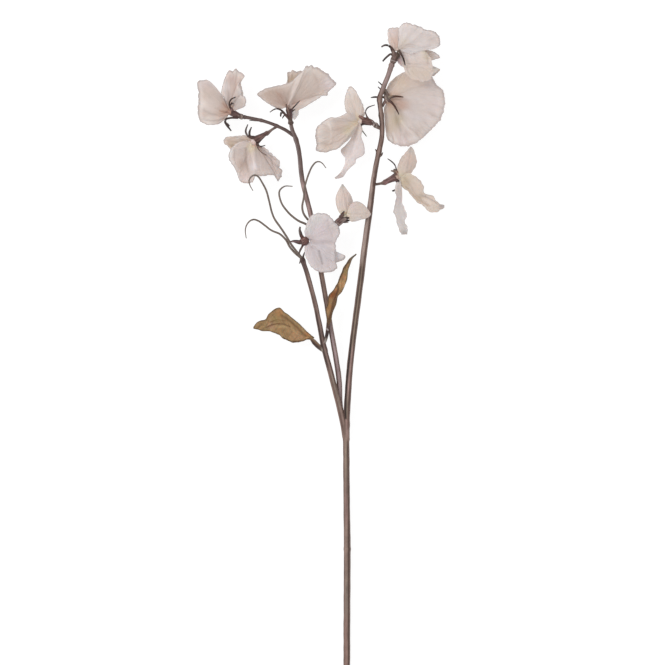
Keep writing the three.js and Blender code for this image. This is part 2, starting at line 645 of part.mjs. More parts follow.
        bow: 2.2, folds: [[0.3, 0.07, 1.6], [0.62, 0.07, -1.8]], frill: [0.9, 5, 0],
      },
      {
        rim: [
          [403, 52.6, 33.6], [402.4, 59.6, 36.4], [403.4, 66, 38.6], [406, 73, 40],
          [410.6, 78.4, 40.4], [416, 80.4, 40.4], [422, 82.3, 39.6], [428, 80.8, 38],
          [432, 75.6, 36.4], [431.9, 66, 35.6], [430.2, 58.8, 35], [424, 52, 34.4], [413, 47, 33.4],
        ],
        bow: 2, folds: [[0.35, 0.07, -1.6], [0.55, 0.06, 1.4], [0.75, 0.06, -1.6]],
        frill: [0.7, 5, 1],
      },
      {
        rim: [
          [404, 45, 26.6], [419, 46, 25], [429, 49.6, 24], [435.8, 52.7, 23], [440.2, 57.4, 22],
          [433, 60, 22], [429, 64, 22], [433, 68.2, 21.6], [440, 68.8, 21], [438.4, 71.9, 20.6],
          [432, 76.4, 20.6], [420, 77, 22], [408, 71, 24], [400.6, 60, 26],
        ],
        bow: -1, frill: [0.6, 4, 0],
      },
      {
        rim: [
          [399, 57.6, 27], [397.2, 61.6, 25.6], [398.4, 66.4, 24.4], [404, 69, 23],
          [409, 64, 22.6], [408, 56, 24.6],
        ],
        bow: 0.6, across: 7,
      },
      {
        rim: [
          [398.6, 43, 24], [405, 34, 16.6], [415, 30, 11], [426.6, 35.6, 8], [429, 47, 7.4],
          [421, 58, 8.6], [409, 60, 14.6], [400, 56.6, 22.6],
        ],
        bow: -1.6, frill: [0.9, 3, 0], across: 7,
      },
    ],
  },
  {
    colour: PETAL_COLOUR,
    heart: [388.2, 98.8, 21.6],
    cone: [[383.6, 88.2, 26.6], [386, 93, 24.8], [387.6, 97.6, 23.4]],
    coneRadii: [1.6, 2.5, 3],
    sepals: [
      [[389, 96.8, 24.6], [396, 94.9, 26], [402.7, 96.9, 25.8]],
      [[388.6, 98.4, 24.6], [394, 105, 26], [399.3, 114.5, 26]],
      [[386.4, 96, 24], [378, 96.2, 23.8], [371.1, 97.6, 24.6]],
      [[385.6, 91.4, 24.6], [382.4, 86, 24], [378, 81.5, 24.6]],
      [[387, 99, 24], [385.4, 103.8, 24.6], [382.8, 107.6, 24.6]],
    ],
    fans: [
      {
        rim: [
          [385.6, 91, 20.6], [388.9, 83.5, 19.4], [394.7, 77.2, 18], [403.9, 71.6, 16.4],
          [415, 68, 15], [426, 70, 14.6], [433.4, 77, 14.4], [437.9, 85, 14], [443.5, 90.4, 13.6],
          [445.8, 97, 13.4], [444.6, 108, 13.6], [441.2, 119, 14.4], [433, 127.8, 15],
          [425, 136, 16], [415.3, 143.2, 17], [405, 145.9, 17.6], [394.1, 143.6, 18],
          [387.8, 139, 18.6], [385.6, 129, 19.4], [384.6, 118, 20.2], [383.8, 108, 20.8],
        ],
        bow: 1.4, folds: [[0.62, 0.05, 1], [0.78, 0.06, -1.8], [0.28, 0.1, 0.8]],
        frill: [0.7, 7, 0],
      },
      {
        rim: [
          [393, 97, 17], [403, 91, 9], [416, 90, 3], [427, 97, 0.2], [431.6, 107, -0.2],
          [425.6, 116.6, 1.2], [412, 119, 4], [398, 113, 11],
        ],
        bow: -1, frill: [0.4, 3, 0], across: 8,
      },
      {
        rim: [
          [390, 104.6, 17], [394.6, 117, 10], [402.6, 128, 6], [414, 133.4, 5], [424.6, 128.6, 5.4],
          [425.4, 118.6, 8.6], [414, 109, 11.6], [400, 103, 15],
        ],
        bow: -1, frill: [0.6, 3, 0], across: 7,
      },
    ],
  },
  {
    colour: PETAL_COLOUR,
    heart: [399, 177.6, 25],
    cone: [[375.6, 184.2, 24], [381.2, 183.1, 24.1], [383.4, 182.5, 24.2], [385.4, 182, 24.3],
      [391, 180, 24.6], [396.8, 178.2, 24.9]],
    coneRadii: [1.3, 1.3, 2.2, 2, 3, 3.9],
    sepals: [
      [[395.6, 175, 27.6], [395, 168, 29.8], [393.2, 163.4, 30.6], [387.7, 159.1, 30.8]],
      [[394.6, 176, 27.6], [393.6, 171.6, 29.6], [390.6, 170.6, 30.4]],
      [[395.6, 181, 24.6], [395, 186.6, 23.8], [392.4, 190.8, 23.4]],
      [[397, 176.6, 28.4], [399.4, 171, 32]],
      [[397, 179, 21.6], [400.6, 181.6, 17.6], [403.6, 185, 15.6]],
    ],
    straps: [
      {
        left: [
          [398.8, 175.6, 27], [397.6, 171, 29.6], [397.5, 166.1, 31], [400.1, 160.1, 30.6],
          [404.8, 154.1, 28], [408.2, 149.4, 25.4], [411, 146.4, 22.6],
        ],
        right: [
          [402.4, 177.4, 24], [411, 173.6, 19.4], [415.2, 168, 17], [416.8, 161.6, 17],
          [416.2, 155.6, 18], [414.4, 150.2, 20], [412, 147, 22],
        ],
        cup: 2.6, frill: [0.6, 2, 0],
      },
      {
        left: [
          [402.6, 175.6, 27.4], [409.6, 173.6, 31], [416, 177.4, 33.6], [420, 183.4, 35.4],
          [423, 187.4, 35.8], [424.4, 193.4, 35], [431.6, 196.9, 34], [436, 201.2, 32],
          [440.4, 204.4, 29.6], [444.2, 205.4, 27.6],
        ],
        right: [
          [401.6, 180.6, 23.4], [403.8, 186.2, 19], [408.4, 190.8, 15.6], [413.4, 196, 14],
          [416.8, 201.2, 14.6], [423, 206.8, 17.4], [430.3, 211.6, 20.6], [437.4, 212.2, 23.6],
          [441.6, 209.6, 25.4], [444.4, 207.4, 26.8],
        ],
        cup: 1.6, frill: [1.2, 3, 0],
      },
      {
        left: [
          [398, 181, 27], [396, 185.6, 30], [395, 191.6, 33.6], [395.8, 200.3, 37],
          [394.8, 209.6, 38.6], [396.2, 218.6, 37.6], [397.2, 225, 35.4], [399.6, 230.6, 33],
          [401.6, 234.8, 30.6],
        ],
        right: [
          [401.2, 181.6, 23], [402, 186.4, 16.6], [402.9, 192, 12.4], [403.2, 197, 9.8],
          [402.4, 203, 8.4], [404.8, 208.6, 8.8], [406.8, 215, 10.8], [405.8, 221.6, 14.6],
          [408.4, 227.4, 19], [407.4, 234.4, 25],
        ],
        cup: 1.8, frill: [1, 2, 0.6],
      },
    ],
    fans: [],
  },
  {
    colour: PETAL_COLOUR,
    heart: [346.4, 216, 30],
    cone: [[314.6, 240.6, 22.4], [325, 233.4, 24.6], [332.5, 227, 27.4], [336, 224.1, 28.6],
      [340.6, 220.5, 29.4], [344.9, 217.2, 29.9]],
    coneRadii: [1.2, 1.3, 1.7, 3, 3.3, 3.4],
    sepals: [
      [[341.6, 217, 32], [342.6, 212.6, 36], [344.6, 209.4, 37.6]],
      [[344.4, 219.6, 32.4], [347.6, 218.2, 36.4], [351.4, 216.6, 38]],
      [[343, 221, 29.6], [346, 222.8, 31.4], [350, 223.6, 32]],
      [[343.4, 217, 26.8], [346.6, 212.6, 23.4], [349, 209.6, 22]],
      [[343.4, 219.6, 26.8], [347, 220.6, 23.6], [350.4, 220, 22]],
    ],
    straps: [
      {
        left: [
          [344.4, 214.8, 31.6], [340.4, 213.4, 33.2], [337.8, 208.6, 34], [336.2, 202.6, 34],
          [336.6, 196, 33.2], [339, 189.8, 31.6], [342.2, 184.2, 29.6],
        ],
        right: [
          [348, 215, 28], [352.6, 211, 24.6], [353.9, 205.6, 23.4], [352.6, 199.4, 24],
          [350.4, 194.4, 25.6], [346.8, 189.2, 27.4], [343.2, 184.4, 29],
        ],
        cup: 2.2, frill: [0.3, 2, 0],
      },
      {
        left: [
          [347, 213.6, 32], [348.6, 208, 34], [352, 203.4, 34.6], [356.8, 201.8, 34.4],
          [362.2, 203.8, 33.4], [367.2, 208.6, 32], [370.8, 213.8, 30.8],
        ],
        right: [
          [347.4, 217.8, 31.4], [350.8, 221.6, 32.4], [355.6, 221.6, 32.4], [361, 219.8, 32],
          [365.2, 219, 31.4], [368.4, 217.4, 30.8], [370.9, 215, 30.6],
        ],
        cup: 1.8, frill: [0.3, 2, 0],
      },
      {
        left: [
          [347.6, 213.4, 27.6], [351, 207.6, 22], [355.6, 204.6, 18.6], [360.6, 206, 17],
          [364, 210.6, 16.6],
        ],
        right: [
          [348.4, 217.6, 27.6], [351.4, 220.4, 22.6], [355.6, 220.2, 19], [360.4, 217.6, 17],
          [364, 212, 16.4],
        ],
        cup: -1.4,
      },
    ],
    fans: [],
  },
  {
    colour: PALE_PETAL_COLOUR,
    heart: [308.4, 241.4, 34.4],
    cone: [[312.8, 237.6, 23.4], [307.5, 239.6, 24.6], [303.8, 241, 27], [304, 241.2, 30],
      [306.4, 241.3, 32.6]],
    coneRadii: [1.2, 1.3, 2.2, 3.3, 3.8],
    sepals: [
      [[303.6, 239.6, 32.6], [300, 234.4, 35], [300.1, 227.2, 36.6]],
      [[302.4, 241.8, 32], [296, 242.8, 33.6], [290.8, 241.9, 34.2]],
      [[303.6, 243.6, 32], [300.4, 247.4, 33.6], [298.8, 252.1, 34.2]],
      [[308, 239.4, 30.6], [312.6, 235.4, 30.4], [316.4, 232.6, 30.6]],
      [[308, 243.4, 30.6], [312, 247.6, 30.2], [315.4, 251, 30.2]],
    ],
    fans: [
      {
        rim: [
          [306.2, 238.2, 35.4], [304.7, 232, 36.6], [307.1, 224, 38], [310.4, 217, 38.6],
          [315.4, 214.1, 38.8], [321.6, 213.7, 38.6], [327.6, 214.8, 38], [332, 219, 37.4],
          [336.4, 224.2, 36.6], [339.9, 229.8, 35.8], [338.7, 236.4, 35.4], [335.6, 242, 35.4],
          [335.8, 248.9, 35], [335.4, 255, 34.4], [335.8, 262, 33.4], [337, 268.4, 32],
          [332.6, 271.5, 33], [326, 272.6, 34], [319, 271.8, 35], [312.6, 268, 35.6],
          [308, 261.4, 36], [305.2, 253.6, 36.2], [304.8, 246.6, 35.6],
        ],
        bow: 2.4, folds: [[0.5, 0.06, -1.6], [0.74, 0.05, -2], [0.3, 0.07, 1]],
        frill: [0.6, 7, 0],
      },
      {
        rim: [
          [313, 244.6, 31.6], [324, 245.6, 29.6], [334, 251, 27.6], [341, 255.2, 26.4],
          [345.2, 257, 25.6], [341, 260.6, 26.2], [335, 264, 27], [325, 267, 28.4],
          [315, 262.6, 29.6], [309.4, 251, 31.6],
        ],
        bow: 0.8, frill: [0.4, 3, 0],
      },
      {
        rim: [
          [308.4, 235, 32.6], [310, 226, 32], [315, 219, 31.4], [323, 217.6, 30.6],
          [328, 222, 30], [326.6, 230, 30], [318, 237, 32],
        ],
        bow: 0.6, across: 7,
      },
    ],
  },
];

const SEPAL_RADII = [SEPAL_ROOT_RADIUS, SEPAL_RADIUS, SEPAL_TIP_RADIUS];
function makeCalyx({ cone, coneRadii, sepals }, extra) {
  const cup = tube(cone, coneRadii, { sides: 9, steps: cone.length, extra });
  const sepal = (points) => tube(points, SEPAL_RADII, { sides: 4, steps: points.length, extra });
  return joined([cup, ...sepals.map(sepal)]);
}

// A strap petal starts inside the heart, this share of the way to the first place of its edge.
const ROOT_SHARE = 0.3;
function rooted(heart, edge) {
  const root = heart.map((value, axis) => THREE.MathUtils.lerp(value, edge[0][axis], ROOT_SHARE));
  return [root, ...edge];
}

function makePetals({ heart, fans, straps = [] }) {
  const core = new THREE.SphereGeometry(HEART_RADIUS, 8, 6);
  core.rotateX(HEART_TURN).translate(...place(heart).toArray());
  const strap = ({ left, right, ...form }) =>
    strapPetal({ left: rooted(heart, left), right: rooted(heart, right), ...form });
  return joined([
    solidOf(core),
    ...fans.map((petal) => fanPetal(heart, petal)),
    ...straps.map(strap),
  ]);
}

// Everything rests on z = 0: what would reach lower is cut flat there.
const BELOW = 20;
const below = new THREE.BoxGeometry(SPRAY_LENGTH, SPRAY_LENGTH * 1.2, BELOW);
below.translate(0, 0, -BELOW / 2);
const underTable = solidOf(below);

const spray = new THREE.Group();

function addNode(name, made, colour) {
  const geometry = tidied(made.subtract(underTable));
  const finish = { color: colour, roughness: 0.8, metalness: 0 };
  const mesh = new THREE.Mesh(geometry, new THREE.MeshStandardMaterial(finish));
  mesh.name = name;
  spray.add(mesh);
}

const nearStem = makeStem(SEAT_GAP);
const nearCalyces = BLOOMS.map((bloom) => makeCalyx(bloom, SEAT_GAP));
const nearTendrils = TENDRILS.map((points) => makeTendril(points, SEAT_GAP));
const nearStalks = LEAVES.map((leaf) => makeStalk(leaf, SEAT_GAP));
const nearAll = joined([nearStem, ...nearCalyces, ...nearTendrils, ...nearStalks]);

addNode("stem", makeStem(0), STEM_COLOUR);
BLOOMS.forEach((bloom, i) => {
  const others = nearCalyces.filter((_, k) => k !== i);
  const calyx = makeCalyx(bloom, 0).subtract(joined([nearStem, ...others]));
  addNode(`bloom_${i + 1}_calyx`, calyx, CALYX_COLOUR);
  addNode(`bloom_${i + 1}_petals`, makePetals(bloom).subtract(nearAll), bloom.colour);
});
TENDRILS.forEach((points, i) => {
  const cut = joined([nearStem, ...nearCalyces, ...nearTendrils.slice(0, i)]);
  addNode(`tendril_${i + 1}`, makeTendril(points, 0).subtract(cut), TENDRIL_COLOUR);
});
LEAVES.forEach((leaf, i) => {
  addNode(`leaf_${i + 1}_stalk`, makeStalk(leaf, 0).subtract(nearStem), STEM_COLOUR);
  const rest = joined([nearStem, nearStalks[i]]);
  addNode(`leaf_${i + 1}_blade`, strapPetal(leaf).subtract(rest), LEAF_COLOUR);
});

export default spray;
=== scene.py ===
# The looks of a sweet pea spray: fine cloth petals, ribbed stems, calyces, tendrils and veined
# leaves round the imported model. Blender 4.5, metres; the lists of places below are millimetres.
import math

import bpy
import numpy as np
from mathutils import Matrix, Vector


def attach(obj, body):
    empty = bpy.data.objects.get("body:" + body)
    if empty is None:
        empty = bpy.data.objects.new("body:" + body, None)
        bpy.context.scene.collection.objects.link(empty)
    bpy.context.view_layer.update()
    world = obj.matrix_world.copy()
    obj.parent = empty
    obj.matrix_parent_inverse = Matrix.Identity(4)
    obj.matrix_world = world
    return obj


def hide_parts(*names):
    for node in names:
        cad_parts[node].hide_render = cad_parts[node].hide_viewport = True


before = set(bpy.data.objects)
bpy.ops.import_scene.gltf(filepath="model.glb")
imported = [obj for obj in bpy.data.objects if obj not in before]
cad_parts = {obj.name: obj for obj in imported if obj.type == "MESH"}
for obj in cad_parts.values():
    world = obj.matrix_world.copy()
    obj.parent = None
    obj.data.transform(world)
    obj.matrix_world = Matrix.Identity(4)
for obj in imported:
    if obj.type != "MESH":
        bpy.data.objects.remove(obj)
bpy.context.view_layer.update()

TAU = 2 * math.pi
MM = 0.001

# The layout sheet that every place below is on: x to the right, y down the spray and the height
# over the table. One millimetre on it is one pixel of the photograph.
SHEET_MIDDLE = (322, 353)
PHOTO_SIDE = 665
PETAL_HEIGHT = 25
TABLE_GAP = 0.02  # the least height of a tube over the table


def place(points):
    """Places on the sheet as places in the part's frame, in millimetres."""
    points = np.asarray(points, float)
    x, y, height = points[..., 0], points[..., 1], points[..., 2]
    return np.stack([x - SHEET_MIDDLE[0], SHEET_MIDDLE[1] - y, height], axis=-1)


def unit(vectors):
    return vectors / np.linalg.norm(vectors, axis=-1, keepdims=True)


def stacked(x, y, z):
    """Three arrays that fit each other as one array of triples."""
    return np.stack(np.broadcast_arrays(x, y, z), axis=-1)


def smooth(low, high, values):
    """0 up to low, 1 from high on, and a soft step between."""
    t = np.clip((values - low) / (high - low), 0, 1)
    return t * t * (3 - 2 * t)


def bell(away, width):
    """1 in the middle, falling to 0 over about two widths."""
    return np.exp(-((away / width) ** 2))


def colour(screen):
    """A red, green and blue as seen on a screen, as the linear values that Blender works with."""
    shares = np.array(screen) / 255
    return np.where(shares <= 0.04045, shares / 12.92, ((shares + 0.055) / 1.055) ** 2.4)


def blended(under, over, share):
    """Tints under others, which cover them as far as each share says."""
    share = share[..., None]
    return under * (1 - share) + over * share


class Curve:
    """A smooth curve through places on the sheet, measured along its length."""

    SPAN = 24  # places worked out from each given one to the next

    def __init__(self, points):
        p = place(points)
        p = np.vstack([2 * p[0] - p[1], p, 2 * p[-1] - p[-2]])
        t = np.linspace(0, 1, self.SPAN, endpoint=False)[:, None]
        spans = []
        for a, b, c, d in zip(p, p[1:], p[2:], p[3:]):
            cubic = (3 * b - a - 3 * c + d) * t**3
            spans.append((2 * b + (c - a) * t + (2 * a - 5 * b + 4 * c - d) * t**2 + cubic) / 2)
        self.dense = np.vstack([*spans, p[-2]])
        steps = np.linalg.norm(np.diff(self.dense, axis=0), axis=1)
        self.lengths = np.concatenate([[0], np.cumsum(steps)])
        self.length = self.lengths[-1]

    def at(self, shares):
        """The places at these shares of the length, from 0 to 1."""
        wanted = np.clip(shares, 0, 1) * self.length
        return np.stack([np.interp(wanted, self.lengths, self.dense[:, k]) for k in range(3)], axis=-1)

    def given(self, values, shares):
        """Values spread evenly over the given places, read at these shares of the length."""
        knots = self.lengths[:: self.SPAN] / self.length
        spread = np.interp(np.linspace(0, 1, len(knots)), np.linspace(0, 1, len(values)), values)
        return np.interp(shares, knots, spread)

    def share_near(self, x, y):
        """The share of the length that is nearest to x, y on the sheet."""
        spot = place([x, y, 0])[:2]
        nearest = np.argmin(np.linalg.norm(self.dense[:, :2] - spot, axis=1))
        return self.lengths[nearest] / self.length


WAVE_COUNT = 7  # how many waves the ripples are made of
WAVE_SLANT = 0.9  # the most that one of them turns, in radians
WAVE_SPREAD = (0.6, 1.6)  # the shortest and the longest, as shares of the wavelength asked for


def ripples(rng, across, along, wavelength, stretch=1):
    """Irregular smooth waves of about unit height, stretched along by a factor."""
    total = 0
    for _ in range(WAVE_COUNT):
        angle = rng.uniform(-WAVE_SLANT, WAVE_SLANT)
        size = wavelength * rng.uniform(*WAVE_SPREAD)
        phase = rng.uniform(0, TAU)
        run = across * math.cos(angle) + along * math.sin(angle) / stretch
        total = total + np.sin(TAU * run / size + phase)
    return total / math.sqrt(WAVE_COUNT)


def gap_to_line(spots, line):
    """How far each flat spot is from a line of places on the sheet."""
    corners = place([(x, y, 0) for x, y in line])[:, :2]
    nearest = np.full(spots.shape[:-1], np.inf)
    for a, b in zip(corners, corners[1:]):
        run = b - a
        t = np.clip(((spots - a) @ run) / (run @ run), 0, 1)
        nearest = np.minimum(nearest, np.linalg.norm(spots - a - t[..., None] * run, axis=-1))
    return nearest


PATCH_LENGTH = 0.1  # a round patch is a line as short as this


def painted(shade, spots, patches, strokes):
    """Soft round patches and lines of colour over the tints. Besides the thing's own colours, many of them
    on the petals, calyces and stalks are painted shade and painted highlights.

    A patch is its x, y, radius, colour and strength, and a stroke its line, width, colour and
    strength."""
    dots = [([(x, y), (x, y + PATCH_LENGTH)], radius, tone, strength)
            for x, y, radius, tone, strength in patches]
    for line, width, tone, strength in [*dots, *strokes]:
        shade = blended(shade, colour(tone), strength * bell(gap_to_line(spots, line), width))
    return shade


SHARP_ANGLE = math.radians(60)


class Pile:
    """The vertices, faces, tints and grain of one piece, gathered from its parts.

    The grain is where a vertex lies on its own part, in millimetres across and along."""

    def __init__(self):
        self.vertices, self.tints, self.grain, self.faces = [], [], [], []
        self.count = 0

    def add(self, vertices, tints, grain, faces):
        self.vertices.append(vertices.reshape(-1, 3))
        self.tints.append(np.broadcast_to(tints, vertices.shape).reshape(-1, 3))
        self.grain.append(np.broadcast_to(grain, vertices.shape).reshape(-1, 3))
        self.faces.extend([[corner + self.count for corner in face] for face in faces])
        self.count += len(self.vertices[-1])

    def paint(self, strokes):
        """Lines of colour over all that is in the pile so far, partly the piece's own colour and partly
        painted highlights and painted shade.
        """
        for index, vertices in enumerate(self.vertices):
            self.tints[index] = painted(self.tints[index], vertices[:, :2], (), strokes)

    def build(self, name, material, slot, *nodes):
        """Makes one object that rides on the part's body and stands for its nodes."""
        mesh = bpy.data.meshes.new(name)
        mesh.from_pydata((np.vstack(self.vertices) * MM).tolist(), [], self.faces)
        solid_tints = np.column_stack([np.vstack(self.tints), np.ones(self.count)])
        tint = mesh.attributes.new("tint", "FLOAT_COLOR", "POINT")
        tint.data.foreach_set("color", solid_tints.ravel())
        grain = mesh.attributes.new("grain", "FLOAT_VECTOR", "POINT")
        grain.data.foreach_set("vector", np.vstack(self.grain).ravel())
        mesh.polygons.foreach_set("use_smooth", [True] * len(mesh.polygons))
        mesh.set_sharp_from_angle(angle=SHARP_ANGLE)
        mesh.materials.append(material)
        piece = bpy.data.objects.new(name, mesh)
        bpy.context.scene.collection.objects.link(piece)
        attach(piece, "root")
        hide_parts(*nodes)


def grid_faces(rows, columns):
    """The quads between rows of vertices."""
    first = np.arange(rows - 1)[:, None] * columns + np.arange(columns - 1)
    quads = np.stack([first, first + 1, first + columns + 1, first + columns], axis=-1)
    return quads.reshape(-1, 4)


def add_sheet(pile, middle, tints, grain, thickness):
    """A thin closed sheet round a grid of places."""
    rows, columns = middle.shape[:2]
    middle[..., 2] = np.maximum(middle[..., 2], thickness)
    normal = unit(np.cross(np.gradient(middle, axis=1), np.gradient(middle, axis=0)))
    both = np.stack([middle + normal * thickness / 2, middle - normal * thickness / 2])
    size = rows * columns
    top = grid_faces(rows, columns)
    index = np.arange(size).reshape(rows, columns)
    rim = np.concatenate([index[0], index[1:-1, -1], index[-1, ::-1], index[-2:0:-1, 0]])
    after = np.roll(rim, -1)
    walls = np.stack([after, rim, rim + size, after + size], axis=-1)
    faces = [*top.tolist(), *(top[:, ::-1] + size).tolist(), *walls.tolist()]
    pile.add(both, np.stack([tints, tints]), np.stack([grain, grain]), faces)


def ring_faces(rows, sides):
    """The faces of a closed tube of rings, with both its ends."""
    index = np.arange(rows * sides).reshape(rows, sides)
    after = np.roll(index, -1, axis=1)
    walls = np.stack([index[:-1], after[:-1], after[1:], index[1:]], axis=-1).reshape(-1, 4)
    return [*walls.tolist(), index[0, ::-1].tolist(), index[-1].tolist()]


UPRIGHT_LIMIT = 0.1  # under this a path starts too steeply for a level side


def carried_frames(path):
    """Two directions across a path at each place, which turn as little as they can."""
    tangents = unit(np.gradient(path, axis=0))
    side = np.cross(tangents[0], (0, 0, 1))
    if np.linalg.norm(side) < UPRIGHT_LIMIT:
        side = np.cross(tangents[0], (1, 0, 0))
    sides = []
    for tangent in tangents:
        side = side - tangent * (side @ tangent)
        side = side / np.linalg.norm(side)
        sides.append(side)
    sides = np.array(sides)
    return sides, np.cross(tangents, sides)


STRIPE_DRIFT = (7, 70)  # how far a stripe drifts, in degrees, and over what length
STRIPE_END = 7  # half the length over which it fades in and out


def striped(shade, along, angle, sheet_y, stripes, rng):
    """Lengthwise stripes over the tints of a tube: on the stem, its own streaks and also painted shade and
    painted highlights.

    A stripe is its top and bottom y on the sheet, its turn from the tube's right-hand side and
    its width, both in degrees, its colour and its strength."""
    most, wavelength = STRIPE_DRIFT
    for top, bottom, turn, width, tone, strength in stripes:
        drift = most * ripples(rng, 0, along, wavelength)
        away = (np.degrees(angle) - turn - drift + 180) % 360 - 180
        starts = smooth(top - STRIPE_END, top + STRIPE_END, sheet_y)
        ends = smooth(bottom - STRIPE_END, bottom + STRIPE_END, sheet_y)
        reach = (starts * (1 - ends))[:, None]
        shade = blended(shade, colour(tone), strength * reach * bell(away, width))
    return shade


FEWEST_RINGS = 8
BUMPS = dict(girth=6, wavelength=5, stretch=2.5)  # the small bumps of a rough tube
GROOVE_SWAY = (0.8, 12)  # how far the shade of a groove wanders, in radians, and over what length


def add_tube(pile, points, radii, tints, sides, step, ribs=(0, 0), knots=(), rough=0, rng=None,
             stripes=(), groove_shade=0):
    """A closed tube through places on the sheet, with rings a step apart.

    ribs is their number and height, rough the height of its bumps, and each knot is an x, a y, a
    length and a height."""
    curve = Curve(points)
    rows = max(FEWEST_RINGS, round(curve.length / step))
    shares = np.linspace(0, 1, rows)
    path = curve.at(shares)
    radius = curve.given(radii, shares)
    for x, y, long, high in knots:
        radius = radius + high * bell((shares - curve.share_near(x, y)) * curve.length, long)
    angle = np.linspace(0, TAU, sides, endpoint=False)
    count, height = ribs
    along = shares[:, None] * curve.length
    wall = radius[:, None] + height * np.cos(count * angle)
    if rough:
        around = np.cos(angle) * BUMPS["girth"]
        wall = wall + rough * ripples(rng, around, along, BUMPS["wavelength"], BUMPS["stretch"])
    first, second = carried_frames(path)
    ring = first[:, None] * np.cos(angle)[:, None] + second[:, None] * np.sin(angle)[:, None]
    places = path[:, None] + ring * wall[..., None]
    places[..., 2] = np.maximum(places[..., 2], TABLE_GAP)
    grain = stacked(np.cos(angle) * radius[:, None], np.sin(angle) * radius[:, None], along)
    linear = np.array([colour(tint) for tint in tints])
    spread = np.linspace(0, 1, len(tints))
    shade = np.stack([np.interp(shares, spread, linear[:, k]) for k in range(3)], axis=-1)
    shade = np.repeat(shade[:, None], sides, axis=1)
    shade = striped(shade, along, angle, SHEET_MIDDLE[1] - path[:, 1], stripes, rng)
    # Painted light and shade: lighter on the ribs and darker in the grooves between them.
    if groove_shade:
        most, wavelength = GROOVE_SWAY
        sway = most * ripples(rng, 0, along, wavelength)
        shade = shade * (1 + groove_shade * np.cos(count * angle + sway))[..., None]
    pile.add(places, shade, grain, ring_faces(rows, sides))


CORE_GRID = (15, 24)  # rows and sides of the ball where the claws of a bloom's petals meet
CORE_POLE = 0.04  # how far its first and last row are from its poles, in radians
HEART_RADIUS = 2.2
MOUTH_FILL = 0.87  # how much of the calyx's mouth the petals' claws fill


def add_core(pile, heart, tint, radius):
    """A small ball, as where the claws of a bloom's petals meet."""
    rows, sides = CORE_GRID
    fall = np.linspace(CORE_POLE, math.pi - CORE_POLE, rows)[:, None]
    turn = np.linspace(0, TAU, sides, endpoint=False)
    ball = stacked(np.sin(fall) * np.cos(turn), np.sin(fall) * np.sin(turn), -np.cos(fall)) * radius
    pile.add(place(heart) + ball, colour(tint), ball, ring_faces(rows, sides))


CLOTH = 0.34  # the thickness of a petal
FINE = (120, 44)  # columns and rows of a petal that shows
PLAIN = (72, 28)  # and of one that lies under others
NARROW = (34, 90)  # and of a strap petal
CREAM = (207, 191, 184)
PEACH = (206, 174, 152)
WHITE = (230, 219, 215)
GREY = (158, 148, 147)
GRAIN_SHIFT = 99  # the most that a petal's grain is shifted from the others'

# Where the bands of colour start and end, as shares of the way from the heart to the rim.
CLAW_FADE = (0.04, 0.36)
PALE_BAND = (0.8, 0.93)
GREY_BAND = (0.94, 0.99)
STRAP_BAND = (0.86, 1)
PALE_SHARE = 0.35  # how strong the pale band is, beside the grey one
STRAP_RIM = 0.55  # how strong the grey at the rim of a strap is
RIM_LINE = 0.75  # and at the rim of a fan
CREASE_LIGHT_AND_SHADE = 0.16  # painted highlight on raised creases and painted shade in pressed ones: how much a millimetre of crease lightens or darkens the cloth
CREASE_SHADE = 0.8  # how wide that is, as a share of the crease


def petal_tints(spots, v, tint, claw, patches, strokes, creases, rim_share):
    """Claw colour, then the petal's own, soft patches and lines, painted shade in pressed creases and
    painted highlights on raised ones, and a greyer rim.
    """
    shade = blended(colour(claw), colour(tint), smooth(*CLAW_FADE, v))
    shade = painted(shade, spots, patches, strokes)
    # Painted shade along pressed creases and painted highlights along raised ones.
    for line, width, height in creases:
        nearness = bell(gap_to_line(spots, line), CREASE_SHADE * width)
        shade = shade * (1 + CREASE_LIGHT_AND_SHADE * height * nearness[..., None])
    shade = blended(shade, colour(WHITE), PALE_SHARE * rim_share * smooth(*PALE_BAND, v))
    return blended(shade, colour(GREY), rim_share * smooth(*GREY_BAND, v))


def crease_lift(spots, creases):
    """The height that the pressed lines add at flat spots.

    A crease is its line, width and height, which is below 0 where it is pressed in."""
    return sum(height * bell(gap_to_line(spots, line), width) for line, width, height in creases)


CLAW_LENGTH = 1.6
RAY_TURN = 0.08  # how far to both sides of a ray, as a share of the rim, the petal's face is read
FRONT_RAY = 0.25  # the ray that tells which face is the upper one
FOLD_FADE = 0.75  # how far along a ray, in half waves, a fold rises and falls
ROW_CLOSENESS = 1.25  # how much closer the rows lie towards the rim
RIM_WOBBLES = [(0.3, 5), (0.2, 2)]  # height and wavelength of the rim's small unevenness
WOBBLE_START = 0.6
FRILL_RISE, RUFFLE_RISE = 2, 4  # the powers by which the frill and the ruffle rise to the rim
RUFFLE_WAVE = 9
FLUTE_START = 0.55
FLUTE_SLANT = 0.3
FLUTE_WAVE = 4.2
CRINKLE_START = (0.1, 0.6)
FINE_CRINKLE = (2.6, 7)  # its wavelength, and how far it is drawn out along the petal
BROAD_CRINKLE = (7, 2)
BROAD_HEIGHT = 1.5  # how much higher the broad crinkles are than the fine ones
CURL_START = 0.86
CREASE_END, LINE_END = 0.05, 0.04  # how long, along the rim, creases and rim line fade out
STEP_END = 0.001  # keeps the end of a fade off the last point that has the full strength


